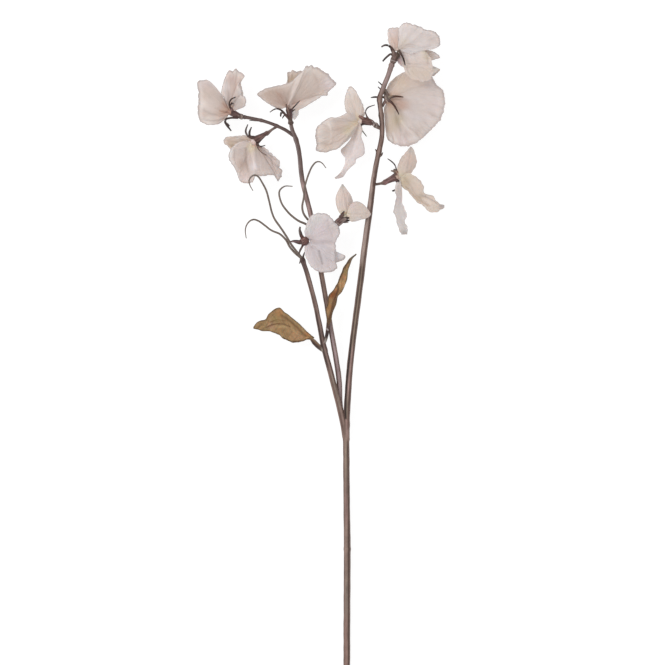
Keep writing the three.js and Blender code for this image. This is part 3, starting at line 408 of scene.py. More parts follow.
def add_fan(pile, rng, heart, rim, bow=0, folds=(), frill=(0, 0, 0), creases=(), patches=(),
            strokes=(), tint=CREAM, claw=PEACH, curl=0.9, ruffle=0.5, crinkle=0.08, flutes=0.25,
            size=FINE, front=1, lined=1, rim_line=RIM_LINE):
    """A petal that spreads in straight rays from the heart to the places of its rim.

    bow is the height of its middle, a fold is a place along the rim, a width and a height, and
    frill is a height, a number of waves and a phase. flutes is the height of the small folds
    along the rim. front and lined are the shares of the rim, from its start, that the creases
    and the grey rim line reach."""
    curve = Curve(rim)
    middle = place(heart)

    def ray(shares):
        return curve.at(shares) - middle

    def normal_at(shares):
        return unit(np.cross(ray(shares - RAY_TURN), ray(shares + RAY_TURN)))

    turned = -1 if normal_at(np.array(FRONT_RAY))[2] < 0 else 1
    columns, rows = size
    u = np.linspace(0, 1, columns + 1)[None, :]
    v = 1 - (1 - np.linspace(0, 1, rows + 1)[:, None]) ** ROW_CLOSENESS
    spoke = ray(u)
    reach = np.linalg.norm(spoke, axis=-1)
    across, along = curve.length * u, reach * v
    wobble = sum(height * ripples(rng, across, 0, wave) for height, wave in RIM_WOBBLES)
    length = CLAW_LENGTH + (reach - CLAW_LENGTH + wobble * smooth(WOBBLE_START, 1, v)) * v
    places = middle + unit(spoke) * length[..., None]
    lift = bow * np.sin(math.pi * v) * np.minimum(1, 2 * np.sin(math.pi * u))
    for at, width, height in folds:
        lift = lift + height * bell(u - at, width) * np.sin(FOLD_FADE * math.pi * v)
    wave, waves, phase = frill
    lift = lift + wave * v**FRILL_RISE * np.sin(TAU * waves * u + phase)
    lift = lift + ruffle * v**RUFFLE_RISE * ripples(rng, across, 0, RUFFLE_WAVE)
    small_folds = ripples(rng, across, FLUTE_SLANT * along, FLUTE_WAVE)
    lift = lift + flutes * smooth(FLUTE_START, 1, v) * small_folds
    crinkled = crinkle * smooth(*CRINKLE_START, v)
    lift = lift + crinkled * ripples(rng, across, along, *FINE_CRINKLE)
    lift = lift + crinkled * ripples(rng, across, along, *BROAD_CRINKLE) * BROAD_HEIGHT
    lift = lift - curl * smooth(CURL_START, 1, v) ** 2
    spots = places[..., :2]
    creased = 1 - smooth(front - CREASE_END, front + STEP_END, u)
    lift = lift + crease_lift(spots, creases) * creased
    places = places + turned * normal_at(u) * lift[..., None]
    rim_share = rim_line * (1 - smooth(lined - LINE_END, lined + STEP_END, u))
    tints = petal_tints(spots, v, tint, claw, patches, strokes, creases, rim_share)
    add_sheet(pile, places, tints, stacked(across, along, rng.uniform(0, GRAIN_SHIFT)), CLOTH)


ROOT_SHARE = 0.3
STRAP_TINY = 1e-9  # keeps the direction at a tip, where the edges meet, from a division by zero


def rooted(heart, edge):
    """The edge of a strap petal with a first place inside the heart."""
    heart, first = np.asarray(heart), np.asarray(edge[0])
    return [list(heart + (first - heart) * ROOT_SHARE), *edge]


def strap_surface(left, right, rows, columns):
    """Places, normals and measures of a strap between its two side edges."""
    edges = [Curve(left), Curve(right)]
    v = np.linspace(0, 1, rows + 1)[:, None]
    u = np.linspace(0, 1, columns + 1)[None, :]
    start, end = (edge.at(v[:, 0]) for edge in edges)
    tangent = unit(np.gradient(start, axis=0)) + unit(np.gradient(end, axis=0))
    normal = unit(np.cross(end - start, tangent) + STRAP_TINY)
    normal = normal * (-1 if normal[len(normal) // 2, 2] < 0 else 1)
    places = start[:, None] + (end - start)[:, None] * u[..., None]
    width = np.linalg.norm(end - start, axis=-1)[:, None]
    return places, normal[:, None], u, v, width, edges[0].length


CUP_ROOT = 0.1  # how much of its rise a cup already has at the root


def cupped(cup, s, v):
    """The height of a strap's middle over its edges, where s runs from -1 to 1 between them."""
    return cup * (1 - s**2) * np.sin(math.pi * np.minimum(CUP_ROOT + v, 1))


STRAP_EDGE = (0.1, 0.4)  # where, along the strap, the ruffle of its edges begins
STRAP_LINE = (0.1, 0.3)  # and the grey line of its edges
STRAP_CRINKLE = (0.05, 0.3)
STRAP_RUFFLE_WAVE = 7
STRAP_CURL_START = 0.75
EDGE_SHIFT = 3  # sets the ruffles of the two edges apart


def add_strap(pile, rng, left, right, cup=0, frill=(0, 0, 0), creases=(), patches=(), strokes=(),
              tint=CREAM, claw=PEACH, curl=0.5, ruffle=0.4, crinkle=0.09, size=NARROW):
    """A narrow petal between its two side edges."""
    columns, rows = size
    places, normal, u, v, width, length = strap_surface(left, right, rows, columns)
    s = 2 * u - 1
    wave, waves, phase = frill
    lift = cupped(cup, s, v) + wave * s * np.sin(TAU * waves * v + phase) * np.sin(math.pi * v)
    across, along = width * u, length * v
    edge = np.abs(s) ** 3 * smooth(*STRAP_EDGE, v)
    lift = lift + ruffle * edge * ripples(rng, along, s * EDGE_SHIFT, STRAP_RUFFLE_WAVE)
    lift = lift - curl * smooth(STRAP_CURL_START, 1, np.abs(s)) ** 2
    crinkles = ripples(rng, across, along, *FINE_CRINKLE)
    lift = lift + crinkle * crinkles * smooth(*STRAP_CRINKLE, v)
    spots = places[..., :2]
    lift = lift + crease_lift(spots, creases)
    places = places + normal * lift[..., None]
    tints = petal_tints(spots, v, tint, claw, patches, strokes, creases, 0)
    nearness = np.maximum(np.abs(s) * smooth(*STRAP_LINE, v), v)
    tints = blended(tints, colour(GREY), STRAP_RIM * smooth(*STRAP_BAND, nearness))
    add_sheet(pile, places, tints, stacked(across, along, rng.uniform(0, GRAIN_SHIFT)), CLOTH)


STEM_TINT = (129, 105, 95)
BRACT_TINT = (122, 106, 99)
BRACT_TIP = (52, 36, 31)

# The stem's paths. Each runs from its lower end to its upper one.
CUT_END = [346.7, 683, 3]
RIGHT_END = [392.1, 63.4, 29]
MIDDLE_END = [290.9, 125, 26.8]
ARM_END = [242.9, 117, 26]
MAIN_AND_RIGHT = [
    CUT_END, [346.9, 616, 5.9], [347.2, 550, 8.7], [346.6, 500, 10.8], [346.2, 444, 13.1],
    [346.5, 420, 14.2], [347.1, 407.6, 14.7], [349.6, 370, 16.3], [354, 331, 17.9], [360, 285, 19.8],
    [365.4, 241, 21.6], [369.3, 213, 22.8], [374.6, 173, 24.5], [378.8, 152, 25.3], [381.6, 138, 25.9],
    [381.9, 124, 26.5], [380, 106, 27.2], [379.6, 98, 27.5], [381.6, 92, 27.8], [384.8, 83.6, 28.2],
    [388, 76, 28.5], RIGHT_END,
]
MAIN_AND_RIGHT_RADII = [
    3.3, 3.35, 3.4, 3.2, 3.2, 3.3, 3.3, 3.15, 3.05, 3.1, 3.1, 3, 2.6, 2.5, 2.4, 2.45, 2.4, 2.4, 2.4, 2.4,
    2.3, 2.5,
]
MAIN_KNOTS = [
    (346.3, 549, 1.6, 0.35), (346.4, 439, 1.2, 0.3), (346.5, 425, 3, 0.25), (378.8, 152, 2.4, 0.4),
    (382, 115, 2.2, 0.4), (379.8, 100, 2.5, 0.5), (391.2, 65.6, 1.2, 0.6), (389.6, 69.6, 1, 0.25),
]
MIDDLE_BRANCH = [
    [344.6, 424, 12.6], [340.9, 411, 10.8], [339.7, 401, 10.4], [339.2, 382, 12.2], [335.6, 356.5, 14.5],
    [331.3, 332, 16.6], [324.2, 290, 19.6], [316, 245, 21.8], [310.6, 214.5, 22.8], [303.9, 188, 23.7],
    [301.5, 175, 24.2], [299.1, 153, 25], [295.9, 139.5, 25.8], [292.6, 131.5, 26.3], MIDDLE_END,
]
MIDDLE_RADII = [2.5, 2.7, 2.55, 2.4, 2.35, 2.15, 1.9]
MIDDLE_KNOTS = [(314.6, 240.6, 2, 0.4), (312.6, 229, 2, 0.4), (296.2, 140, 2, 0.35)]
LEFT_BRANCH = [
    [345.4, 438, 13.4], [341.8, 418, 14.7], [337.2, 398.6, 15.5], [330.6, 373, 16.4], [324, 348, 17.3],
    [319.5, 325.4, 18.2], [315.1, 304, 19], [307.7, 276, 20.1], [301.8, 258, 20.8],
]
LEFT_RADII = [2.9, 2.9, 2.8, 2.35, 2.25]
LEFT_KNOTS = [(303, 261, 2.6, 0.6), (324.4, 349.5, 2, 0.3)]
ARM = [
    [293.8, 136, 26], [285.6, 130.2, 26.2], [277.6, 126.4, 26.2], [269.5, 123.1, 26.2],
    [260.4, 120.3, 26.1], [251.2, 118.3, 26], ARM_END,
]
ARM_RADII = [1.6, 1.6, 1.6]
ARM_KNOTS = [(276.6, 126.2, 1.4, 0.4), (261, 120.5, 1.4, 0.3), (244.6, 117.2, 1.1, 0.5)]
BRACTS = [
    [[302.6, 259, 21], [303.6, 255, 23], [304.8, 251.5, 24]],
    [[302.4, 257, 21], [300.6, 260.5, 22], [299.2, 263.8, 22.5]],
    [[379.6, 156.5, 26], [381.6, 155, 26.6], [382.9, 152.4, 26.8]],
    [[382, 116, 27], [380.6, 113.8, 27.2], [379.3, 111.4, 27.4]],
    [[378.2, 153.4, 26], [376.6, 151.4, 26], [375.2, 149, 26]],
    [[261, 120.6, 25.8], [255, 120.4, 25.6], [249.3, 120.4, 25.6]],
]
BRACT_RADII = [1.15, 0.9, 0.3]

# The stem's colours, as stripes on each path and a few marks over all of it.
# The stripes are partly the stem's own streaky paint and partly painted light and shade: the dark
# ones on the right-hand side, at turns of -40 to -60 degrees, are painted shade on the side away
# from the key light, and the pale ones near -90 degrees are painted highlights along the top.
MAIN_AND_RIGHT_STRIPES_SHADE_AND_LIGHT = [
    (440, 700, -90, 28, (144, 122, 111), 0.7), (440, 478, -92, 26, (150, 132, 116), 0.6),
    (494, 524, -92, 34, (154, 120, 114), 0.6), (576, 616, -92, 26, (138, 122, 110), 0.6),
    (620, 700, -92, 34, (144, 112, 103), 0.6), (440, 700, -54, 17, (58, 38, 30), 0.9),
    (440, 700, -160, 20, (92, 68, 58), 0.6), (345, 436, -80, 20, (176, 146, 138), 0.9),
    (396, 420, -80, 20, (156, 140, 120), 0.8), (345, 430, -54, 17, (78, 52, 46), 0.85),
    (340, 421, -125, 24, (0, 0, 0), 1), (240, 345, -90, 20, (162, 142, 124), 0.85),
    (262, 345, -115, 18, (38, 22, 12), 0.92), (262, 345, -60, 18, (60, 40, 30), 0.85),
    (166, 262, -112, 30, (170, 151, 143), 0.85), (166, 262, -60, 19, (66, 44, 38), 0.85),
    (90, 166, -90, 22, (156, 132, 122), 0.8), (90, 166, -145, 20, (60, 40, 34), 0.9),
    (110, 166, -48, 15, (72, 48, 40), 0.85), (60, 90, -90, 40, (162, 141, 139), 0.8),
]
MIDDLE_STRIPES_SHADE_AND_LIGHT = [
    (318, 430, -85, 32, (168, 147, 148), 0.85), (330, 425, -140, 20, (66, 46, 44), 0.85),
    (222, 330, -95, 24, (142, 120, 110), 0.6), (222, 330, -134, 20, (62, 42, 38), 0.85),
    (180, 222, -95, 45, (174, 148, 145), 0.8), (120, 180, -90, 90, (98, 84, 82), 0.75),
    (120, 180, -128, 22, (132, 119, 119), 0.75), (125, 230, -48, 17, (74, 52, 48), 0.8),
]
LEFT_STRIPES_SHADE_AND_LIGHT = [
    (255, 430, -74, 20, (148, 124, 115), 0.75), (308, 368, -112, 24, (36, 20, 17), 0.95),
    (368, 430, -112, 20, (80, 56, 50), 0.7), (250, 308, -112, 24, (76, 54, 48), 0.8),
    (330, 400, -50, 15, (78, 54, 50), 0.8), (372, 410, -85, 20, (150, 136, 122), 0.6),
    (250, 273, -90, 80, (84, 68, 66), 0.8),
]
ARM_STRIPES_SHADE_AND_LIGHT = [
    (90, 145, -90, 85, (84, 68, 66), 0.9), (100, 140, -105, 20, (112, 95, 91), 0.4),
    (100, 140, -40, 24, (58, 42, 38), 0.8),
]
STEM_MARKS = [
    ([(302, 256), (303.4, 260.4)], 1.4, (52, 36, 34), 0.85),
    ([(345.4, 412), (346, 418.6)], 0.8, (34, 18, 12), 0.9),
    ([(346, 420), (346.8, 424)], 0.8, (160, 126, 118), 0.7),
    ([(379.2, 113), (379.9, 121)], 0.6, (74, 56, 50), 0.8),
    ([(381.6, 136), (380.6, 146)], 0.5, (70, 50, 42), 0.7),
    ([(373.8, 178), (373.2, 186)], 0.9, (66, 40, 30), 0.7),
    ([(379.4, 92), (378.6, 100)], 0.6, (96, 70, 62), 0.7),
]
STEM_SEED = 11


def make_stem(material):
    rng = np.random.default_rng(STEM_SEED)
    pile = Pile()
    branches = [
        (MAIN_AND_RIGHT, MAIN_AND_RIGHT_RADII, MAIN_KNOTS, MAIN_AND_RIGHT_STRIPES_SHADE_AND_LIGHT),
        (MIDDLE_BRANCH, MIDDLE_RADII, MIDDLE_KNOTS, MIDDLE_STRIPES_SHADE_AND_LIGHT),
        (LEFT_BRANCH, LEFT_RADII, LEFT_KNOTS, LEFT_STRIPES_SHADE_AND_LIGHT),
        (ARM, ARM_RADII, ARM_KNOTS, ARM_STRIPES_SHADE_AND_LIGHT),
    ]
    for points, radii, knots, stripes in branches:
        add_tube(pile, points, radii, [STEM_TINT], sides=40, step=0.8, ribs=(7, 0.15), knots=knots,
                 rough=0.07, rng=rng, stripes=stripes)
    for points in BRACTS:
        add_tube(pile, points, BRACT_RADII, [BRACT_TINT, BRACT_TIP], sides=12, step=0.5)
    pile.paint(STEM_MARKS)
    pile.build("stem_ribbed", material, "stem", "stem")


# The first two tendrils grow from the end of the left branch, the others from the middle one.
TENDRILS = [
    [[302, 258, 21.5], [292.3, 246.1, 25], [286.2, 236.2, 28], [280.1, 227, 30.5], [274.7, 219.3, 32.5],
        [271.7, 211.7, 34.5], [269.4, 201.7, 37], [266.7, 191.8, 40], [262.5, 183.4, 43],
        [258.7, 177.6, 45], [254.8, 176.1, 45.5], [251.4, 178, 45.5], [249.5, 181.8, 45],
        [250.6, 186.4, 44], [253.3, 191.4, 43]],
    [[301, 258, 19.8], [294.6, 252.6, 20.6], [289.6, 246.6, 21.4], [286, 240, 22.2], [280.1, 234.2, 23],
        [274, 231.6, 24], [270.2, 229.7, 25], [264.8, 225.5, 26.5], [259.4, 221.6, 28], [254.1, 219.7, 29],
        [249.5, 221.6, 29.5], [246.4, 226.2, 29.5], [245.5, 231.6, 29], [246.4, 238.5, 28]],
    [[313, 229.5, 22.6], [306.1, 224.3, 24], [298.5, 220.9, 26], [290.8, 215.1, 28.5],
        [285.5, 209.4, 30.5], [281.6, 203.3, 32], [279.3, 195.6, 33.5], [279.7, 191, 34],
        [282.4, 188, 34.5], [286.2, 186.4, 35], [292.7, 186.8, 35]],
    [[312, 223, 23.5], [307.3, 219, 27], [303.4, 213.2, 29.5], [302.3, 206.3, 30.5], [303.8, 197.9, 31],
        [304.6, 188, 31.5], [306.9, 179.5, 32], [309.9, 171.1, 32], [312.4, 166.4, 32], [315.7, 162.7, 32],
        [319.1, 162, 32], [322.4, 163.7, 32], [326.1, 168.4, 32]],
]
TENDRIL_RADII = [1.15, 1.05, 0.95, 0.85, 0.45]
TENDRIL_TINT = (118, 104, 95)
TENDRIL_SEED = 20


def make_tendril(number, points, material):
    rng = np.random.default_rng(TENDRIL_SEED + number)
    pile = Pile()
    add_tube(pile, points, TENDRIL_RADII, [TENDRIL_TINT], sides=16, step=0.6, ribs=(3, 0.04),
             rough=0.04, rng=rng)
    pile.build(f"tendril_{number}_curl", material, "tendril", f"tendril_{number}")


SEPAL_TINT = (90, 66, 60)
SEPAL_TIP = (52, 36, 31)
SEPAL_SIDES = 16
SEPAL_STEP = 0.4
SEPAL_ROWS = 14  # the fewest
SEPAL_TINY = 1e-6  # keeps a sepal that stands upright from a division by zero
SEPAL_TURN = 0.5  # how far it turns round the cone and away from level
SEPAL_SPREAD = (0.12, 1.12)  # what is added to each half width, and what it is scaled by
SEPAL_DEPTH = (0.25, 0.22)  # half the thickness at no width, and what a millimetre of width adds
SEPAL_CUP = 0.22
SEPAL_FADE = (0.05, 0.65)  # where, along it, the tip's colour begins and is full
SEPAL_EDGE_SHADE = 0.75  # painted shade on its edges, which turn away from the light: how dark they are beside its flat sides


def add_sepal(pile, points, half_widths, axis, mouth):
    """A pointed, slightly cupped tooth of the calyx along its places.

    Its flat side faces away from the cone's axis and partly up."""
    curve = Curve(points)
    rows = max(SEPAL_ROWS, round(curve.length / SEPAL_STEP))
    shares = np.linspace(0, 1, rows)
    path = curve.at(shares)
    tangent = unit(np.gradient(path, axis=0))
    round_cone = unit(np.cross(axis, path[0] - place(mouth)) + SEPAL_TINY)
    level = unit(np.cross((0, 0, 1), tangent) + SEPAL_TINY)
    level = level * np.where(level @ round_cone < 0, -1, 1)[:, None]
    side = level + SEPAL_TURN * round_cone
    side = unit(side - tangent * (side * tangent).sum(-1, keepdims=True))
    front = np.cross(tangent, side)
    width = SEPAL_SPREAD[0] + SEPAL_SPREAD[1] * curve.given(half_widths, shares)[:, None]
    depth = SEPAL_DEPTH[0] + SEPAL_DEPTH[1] * width
    angle = np.linspace(0, TAU, SEPAL_SIDES, endpoint=False)
    flat = (side * width)[:, None] * np.cos(angle)[:, None]
    deep = np.sin(angle) * depth
    cup = SEPAL_CUP * np.cos(angle) ** 2 * width
    places = path[:, None] + flat + front[:, None] * (deep + cup)[..., None]
    places[..., 2] = np.maximum(places[..., 2], TABLE_GAP)
    grain = stacked(np.cos(angle) * width, np.sin(angle) * depth, shares[:, None] * curve.length)
    tints = blended(colour(SEPAL_TINT), colour(SEPAL_TIP), smooth(*SEPAL_FADE, shares)[:, None])
    # Painted shade: the edges darker than the flat sides.
    edge = SEPAL_EDGE_SHADE + (1 - SEPAL_EDGE_SHADE) * np.sin(angle) ** 2
    pile.add(places, tints * edge[:, None], grain, ring_faces(rows, SEPAL_SIDES))


CALYX_TINT = (108, 80, 75)
CALYX_TINTS = [(104, 84, 77), (120, 101, 93), CALYX_TINT, CALYX_TINT, (94, 68, 63)]
CALYX_SEED = 40


def make_calyx(number, calyx, material):
    rng = np.random.default_rng(CALYX_SEED + number)
    pile = Pile()
    add_tube(pile, calyx["cone"], calyx["cone_radii"], CALYX_TINTS, sides=60, step=0.3,
             ribs=(9, 0.12), rough=0.16, rng=rng, groove_shade=0.3)
    before, mouth = calyx["cone"][-2:]
    for half_widths, points in calyx["sepals"]:
        add_sepal(pile, points, half_widths, place(mouth) - place(before), mouth)
    # The calyx's strokes are partly its own streaks and partly painted highlights on its ridges and collar
    # and painted shade along its lower edges.
    pile.paint(calyx["strokes"])
    pile.build(f"bloom_{number}_calyx_toothed", material, "calyx", f"bloom_{number}_calyx")


LEAF_TINT = (172, 140, 99)
LEAF_SHADE = (128, 97, 62)
LEAF_RIM = (82, 63, 42)
LEAF_SEED = 60
LEAVES = [
    dict(
        left=[[314.4, 337.6, 19], [307.4, 331.8, 20.4], [297.8, 322.4, 23.2], [289.8, 316, 25.5],
            [281.6, 309.2, 27], [278.6, 308, 27], [273, 310, 26.6], [268.4, 314.6, 25.6],
            [265.4, 319.2, 24.5], [260.6, 320.4, 23.6], [256.6, 323, 23], [253.2, 327.4, 22.5]],
        right=[[312, 339.8, 18.8], [306.6, 339.8, 18.4], [302, 341.6, 18.2], [295.6, 342.6, 18],
            [288, 341, 18.2], [283, 338.2, 18.8], [277, 334, 19.6], [271.4, 331.8, 20.2],
            [267.4, 331.3, 20.6], [263.6, 331.2, 20.4], [258.6, 329.9, 21.4], [253.4, 328.6, 22.3]],
        cup=-1.6,
        patches=[(271, 325.4, 3.6, (192, 152, 126), 0.7), (279.6, 312.6, 3.6, (186, 128, 80), 0.7),
            (307.4, 334.4, 2.6, (206, 136, 80), 0.8), (298, 336, 7, (184, 142, 110), 0.6),
            (262, 326, 5, (150, 124, 84), 0.6), (276, 319, 4, (160, 138, 84), 0.5)],
        strokes=[([(282, 315.4), (290, 321), (298.6, 329), (305.6, 335.6)], 1.3, (112, 84, 50), 0.75),
            ([(284, 312), (297, 322), (306.4, 331.4)], 0.9, (176, 150, 102), 0.6),
            ([(266, 327.4), (271, 325), (277, 323.6), (284, 324.2), (290, 326.6)], 0.7, (106, 74, 48),
                0.85), ([(276, 327), (284, 326.4), (291, 328.8), (297, 333.4)], 1, (198, 168, 122), 0.7),
            ([(271, 321.6), (278, 319.4), (285, 321)], 0.7, (116, 88, 54), 0.5),
            ([(284, 329.4), (288, 335.4), (291, 340)], 0.6, (140, 108, 74), 0.5),
            ([(283, 338.6), (291, 341.8), (303, 341), (309, 338.8)], 0.9, (84, 58, 40), 0.8)],
        stalk=[[310.8, 338.2, 19.2], [314.2, 342, 18.8], [318.2, 346, 18.2], [321.8, 349.4, 17.8],
            [325.6, 352.4, 17.4]],
        stalk_radii=[1.4, 2.4, 2.6, 2.2, 1.3],
        # Painted shade along the stalk's lower side and painted highlights along its upper side and at its
        # end.
        stalk_strokes=[([(311.4, 341.6), (315, 346), (320.6, 350.8)], 1.7, (52, 36, 28), 0.9),
            ([(311.6, 337.6), (315.6, 341.8), (319.8, 345.6)], 0.7, (156, 128, 98), 0.7),
            ([(322.2, 350), (325.4, 353)], 1.1, (178, 170, 156), 0.8)],
    ),
    dict(
        left=[[326.9, 325.2, 23.6], [326.2, 312, 25], [327.2, 304, 26], [328.4, 297.6, 27.2],
            [331.2, 291.7, 28.6], [335.2, 286.3, 29.4], [338, 282.6, 30.2], [339.6, 275.8, 31.2],
            [342.8, 270.2, 32], [346.4, 263, 33], [349.6, 258.6, 33.6], [356, 253.8, 34]],
        right=[[328.9, 325.6, 23.4], [331.5, 318, 22.6], [334, 309.6, 23], [336, 303.2, 23.6],
            [338.5, 297, 24.2], [341.6, 291.1, 25], [345.2, 286.4, 25.8], [346.4, 280, 27],
            [348.4, 270.4, 29], [350.6, 262.4, 31.4], [352.6, 258.8, 32.6], [356.6, 254.6, 33.8]],
        cup=1.4,
        patches=[(332.4, 294.4, 5.6, (136, 74, 32), 0.97), (342.6, 284.6, 4.2, (222, 174, 122), 0.85),
            (345.4, 273, 5, (164, 138, 88), 0.7), (329.6, 307, 4, (164, 112, 66), 0.85),
            (353, 258, 3, (138, 122, 102), 0.8), (343.6, 277, 2.6, (206, 140, 104), 0.7),
            (336, 289.6, 2, (196, 132, 86), 0.7), (330, 317, 3, (128, 92, 64), 0.8)],
        strokes=[
            ([(337.6, 283.8), (338.2, 288), (336.6, 294), (333.6, 301.6), (331, 312), (328.8, 322)], 1.1,
                (96, 58, 34), 0.9),
            ([(349, 260), (343.4, 270.4), (340, 278), (337.4, 283)], 1, (76, 46, 34), 0.9),
            ([(335.6, 286.6), (331.4, 291.8), (328.6, 298)], 0.7, (100, 56, 28), 0.7),
            ([(337, 298), (334.2, 305), (331.6, 315)], 0.8, (90, 62, 42), 0.8),
            ([(356, 254), (352, 258), (348.6, 263)], 0.9, (98, 86, 76), 0.8),
            ([(328.2, 319), (327.8, 326)], 1.3, (84, 62, 50), 0.85),
            ([(343.6, 274), (341.6, 281), (341.6, 288)], 0.6, (140, 108, 70), 0.6)],
        stalk=[[327.7, 322.6, 23.4], [327.6, 328, 22.8], [327, 333.8, 21.6], [325.7, 339, 19.6],
            [324, 345.4, 17.6]],
        stalk_radii=[1.1, 1.5, 1.8, 1.7, 1.2],
        # The pale strokes are painted highlights on the stalk's bend and lower end, the dark ones partly
        # its own colour and partly painted shade.
        stalk_strokes=[([(327.6, 321), (327.8, 327.6)], 1.5, (80, 62, 56), 0.85),
            ([(326.8, 328.8), (328, 330)], 0.6, (214, 206, 204), 0.85),
            ([(327.2, 332), (326.2, 337)], 1.3, (40, 32, 36), 0.95),
            ([(325.8, 339.4), (324.6, 343)], 1.1, (156, 146, 138), 0.8)],
    ),
]
LEAF_THICKNESS = 0.4
LEAF_GRID = (64, 170)  # columns and rows of a blade
MIDRIB_WIDTH = 0.06  # as a share of half the blade's width
MIDRIB_END = 0.8  # where, along the blade, it begins to fade
MIDRIB_HEIGHT = 0.35
MIDRIB_SHADE = 0.7  # how dark it is beside the side veins
SIDE_VEINS = 9
SIDE_VEIN_SLANT = 0.9  # how far along, in veins, each reaches on its way to the rim
SIDE_VEIN_SHIFT = 0.5  # how far the veins of one side are set from the other's
SIDE_VEIN_WIDTH = 0.09
SIDE_VEIN_START = (0.02, 0.1)
SIDE_VEIN_FADE = 0.4  # the power by which they fade to the rim
SIDE_VEIN_HEIGHT = 0.14
VEIN_SHADE = 0.24
LEAF_RUFFLE = (0.9, 11)  # height and wavelength
LEAF_WAVES = (0.3, 8, 1.5)  # height, wavelength, and how far they are drawn out along the blade
LEAF_CLOUDS = (12, 1.5)  # the wavelength of the colour's clouds, and how far drawn out
CLOUD_COVER = (0.5, 0.3)  # how much they cover, and how much that changes
CLOUD_SHADE = 0.4
LEAF_RIM_WIDTH = 1.7
LEAF_RIM_BAND = (0.3, 0.75)
LEAF_RIM_SHADE = 0.8
LEAF_TIP_RISE = 30  # the power by which the rim's colour rises at the tip
STALK_TINTS = [(120, 92, 66), (92, 68, 56), (88, 64, 56), (128, 112, 100), (160, 148, 138)]


def make_leaf(number, leaf, material, stalk_material):
    rng = np.random.default_rng(LEAF_SEED + number)
    columns, rows = LEAF_GRID
    places, normal, u, v, width, length = strap_surface(leaf["left"], leaf["right"], rows, columns)
    s = 2 * u - 1
    out = np.abs(s)
    across, along = width * u, length * v
    midrib = bell(s, MIDRIB_WIDTH) * (1 - smooth(MIDRIB_END, 1, v))
    branch = (v * SIDE_VEINS - out * SIDE_VEIN_SLANT + SIDE_VEIN_SHIFT * (s > 0)) % 1
    veins = bell(branch - 0.5, SIDE_VEIN_WIDTH) * smooth(*SIDE_VEIN_START, out)
    veins = veins * (1 - out) ** SIDE_VEIN_FADE
    lift = cupped(leaf["cup"], s, v) + MIDRIB_HEIGHT * midrib + SIDE_VEIN_HEIGHT * veins
    height, wavelength = LEAF_RUFFLE
    lift = lift + height * out**3 * ripples(rng, along, s * EDGE_SHIFT, wavelength)
    height, *waves = LEAF_WAVES
    lift = lift + height * ripples(rng, across, along, *waves)
    places = places + normal * lift[..., None]
    cover, change = CLOUD_COVER
    clouds = (cover + change * ripples(rng, across, along, *LEAF_CLOUDS)).clip(0, 1)
    tints = blended(colour(LEAF_TINT), colour(LEAF_SHADE), CLOUD_SHADE * clouds)
    tints = painted(tints, places[..., :2], leaf["patches"], leaf["strokes"])
    tints = tints * (1 - VEIN_SHADE * np.maximum(MIDRIB_SHADE * midrib, veins))[..., None]
    nearness = np.maximum(out ** (width / LEAF_RIM_WIDTH / 2), v**LEAF_TIP_RISE)
    tints = blended(tints, colour(LEAF_RIM), LEAF_RIM_SHADE * smooth(*LEAF_RIM_BAND, nearness))
    blade = Pile()
    add_sheet(blade, places, tints, stacked(across, along, 0.0), LEAF_THICKNESS)
    blade.build(f"leaf_{number}_veined", material, "leaf", f"leaf_{number}_blade")
    stalk = Pile()
    add_tube(stalk, leaf["stalk"], leaf["stalk_radii"], STALK_TINTS, sides=32, step=0.4,
             ribs=(5, 0.1), rough=0.16, rng=rng)
    stalk.paint(leaf["stalk_strokes"])
    stalk.build(f"leaf_{number}_stalk_twisted", stalk_material, "leaf_stalk", f"leaf_{number}_stalk")


# The nine blooms. A calyx's cone runs from the branch to its mouth, with its radii spread along it,
# and a sepal is its half widths and its places, from the cone to the tip. The patches and strokes of
# the petals are partly the cloth's own tints and partly painted shade, in valleys, under folds and on
# petals that lie under others, with painted highlights on ridges and flutes. Those of the calyces are
# partly their own streaks and partly painted highlights and painted shade.

# Bloom 1, at the far left, on the end of the arm.
CALYX_1 = dict(
    cone=[ARM_END, [241.4, 116.7, 25.9], [239.4, 115.9, 25.7], [235.6, 114.3, 25.5], [231.4, 112.5, 25.3]],
    cone_radii=[2.6, 3, 2.5, 3, 3.2],
    sepals=[
        ([1.5, 0.8, 0.55, 0.6, 0.35],
            [[233, 111.2, 28], [230.4, 107.6, 31.4], [229.8, 103.4, 34.4], [231.8, 100, 36.8],
                [236, 98, 38]]),
        ([0.7, 0.6, 0.3], [[230.2, 106.4, 32], [231.6, 104.6, 34.2], [233.8, 104, 36.2]]),
        ([0.4, 0.3, 0.2], [[231.6, 104.9, 34], [231.9, 103.6, 34.8], [232.6, 102.8, 35.4]]),
        ([1.4, 0.85, 0.8, 1.05, 0.95, 0.45],
            [[238.4, 117.6, 26.6], [231.6, 118.2, 30.6], [226.8, 119.6, 34.6], [225.6, 122.4, 35.6],
                [228, 126.8, 36], [231.6, 131.5, 35.6]]),
        ([0.8, 0.7, 0.35], [[226.8, 124, 35.8], [228.4, 125, 36.4], [230, 126.8, 36.8]]),
        ([1.4, 1, 0.4], [[233, 110.6, 23.4], [237.6, 105, 19.6], [240.6, 100.6, 17.4]]),
        ([1.4, 1, 0.4], [[234, 114.6, 22.8], [229.4, 113.4, 17.6], [225.2, 112.4, 14.4]])],
    strokes=[([(231, 110.4), (234, 109.4), (238, 111)], 1.1, (150, 120, 118), 0.8),
        ([(234.6, 111.4), (240, 114.6)], 0.6, (72, 50, 50), 0.8),
        ([(231, 118.2), (236, 118), (240, 118.4)], 0.5, (58, 42, 38), 0.8),
        ([(240.8, 119.6), (242.2, 117), (241.4, 114.6)], 0.4, (172, 158, 148), 0.8),
        ([(243.2, 120), (243.8, 116.4)], 0.4, (160, 146, 136), 0.7),
        ([(240, 120), (239.8, 115)], 0.4, (56, 42, 38), 0.8),
        ([(245, 119.8), (245, 115.2)], 0.4, (56, 42, 38), 0.8)],
)
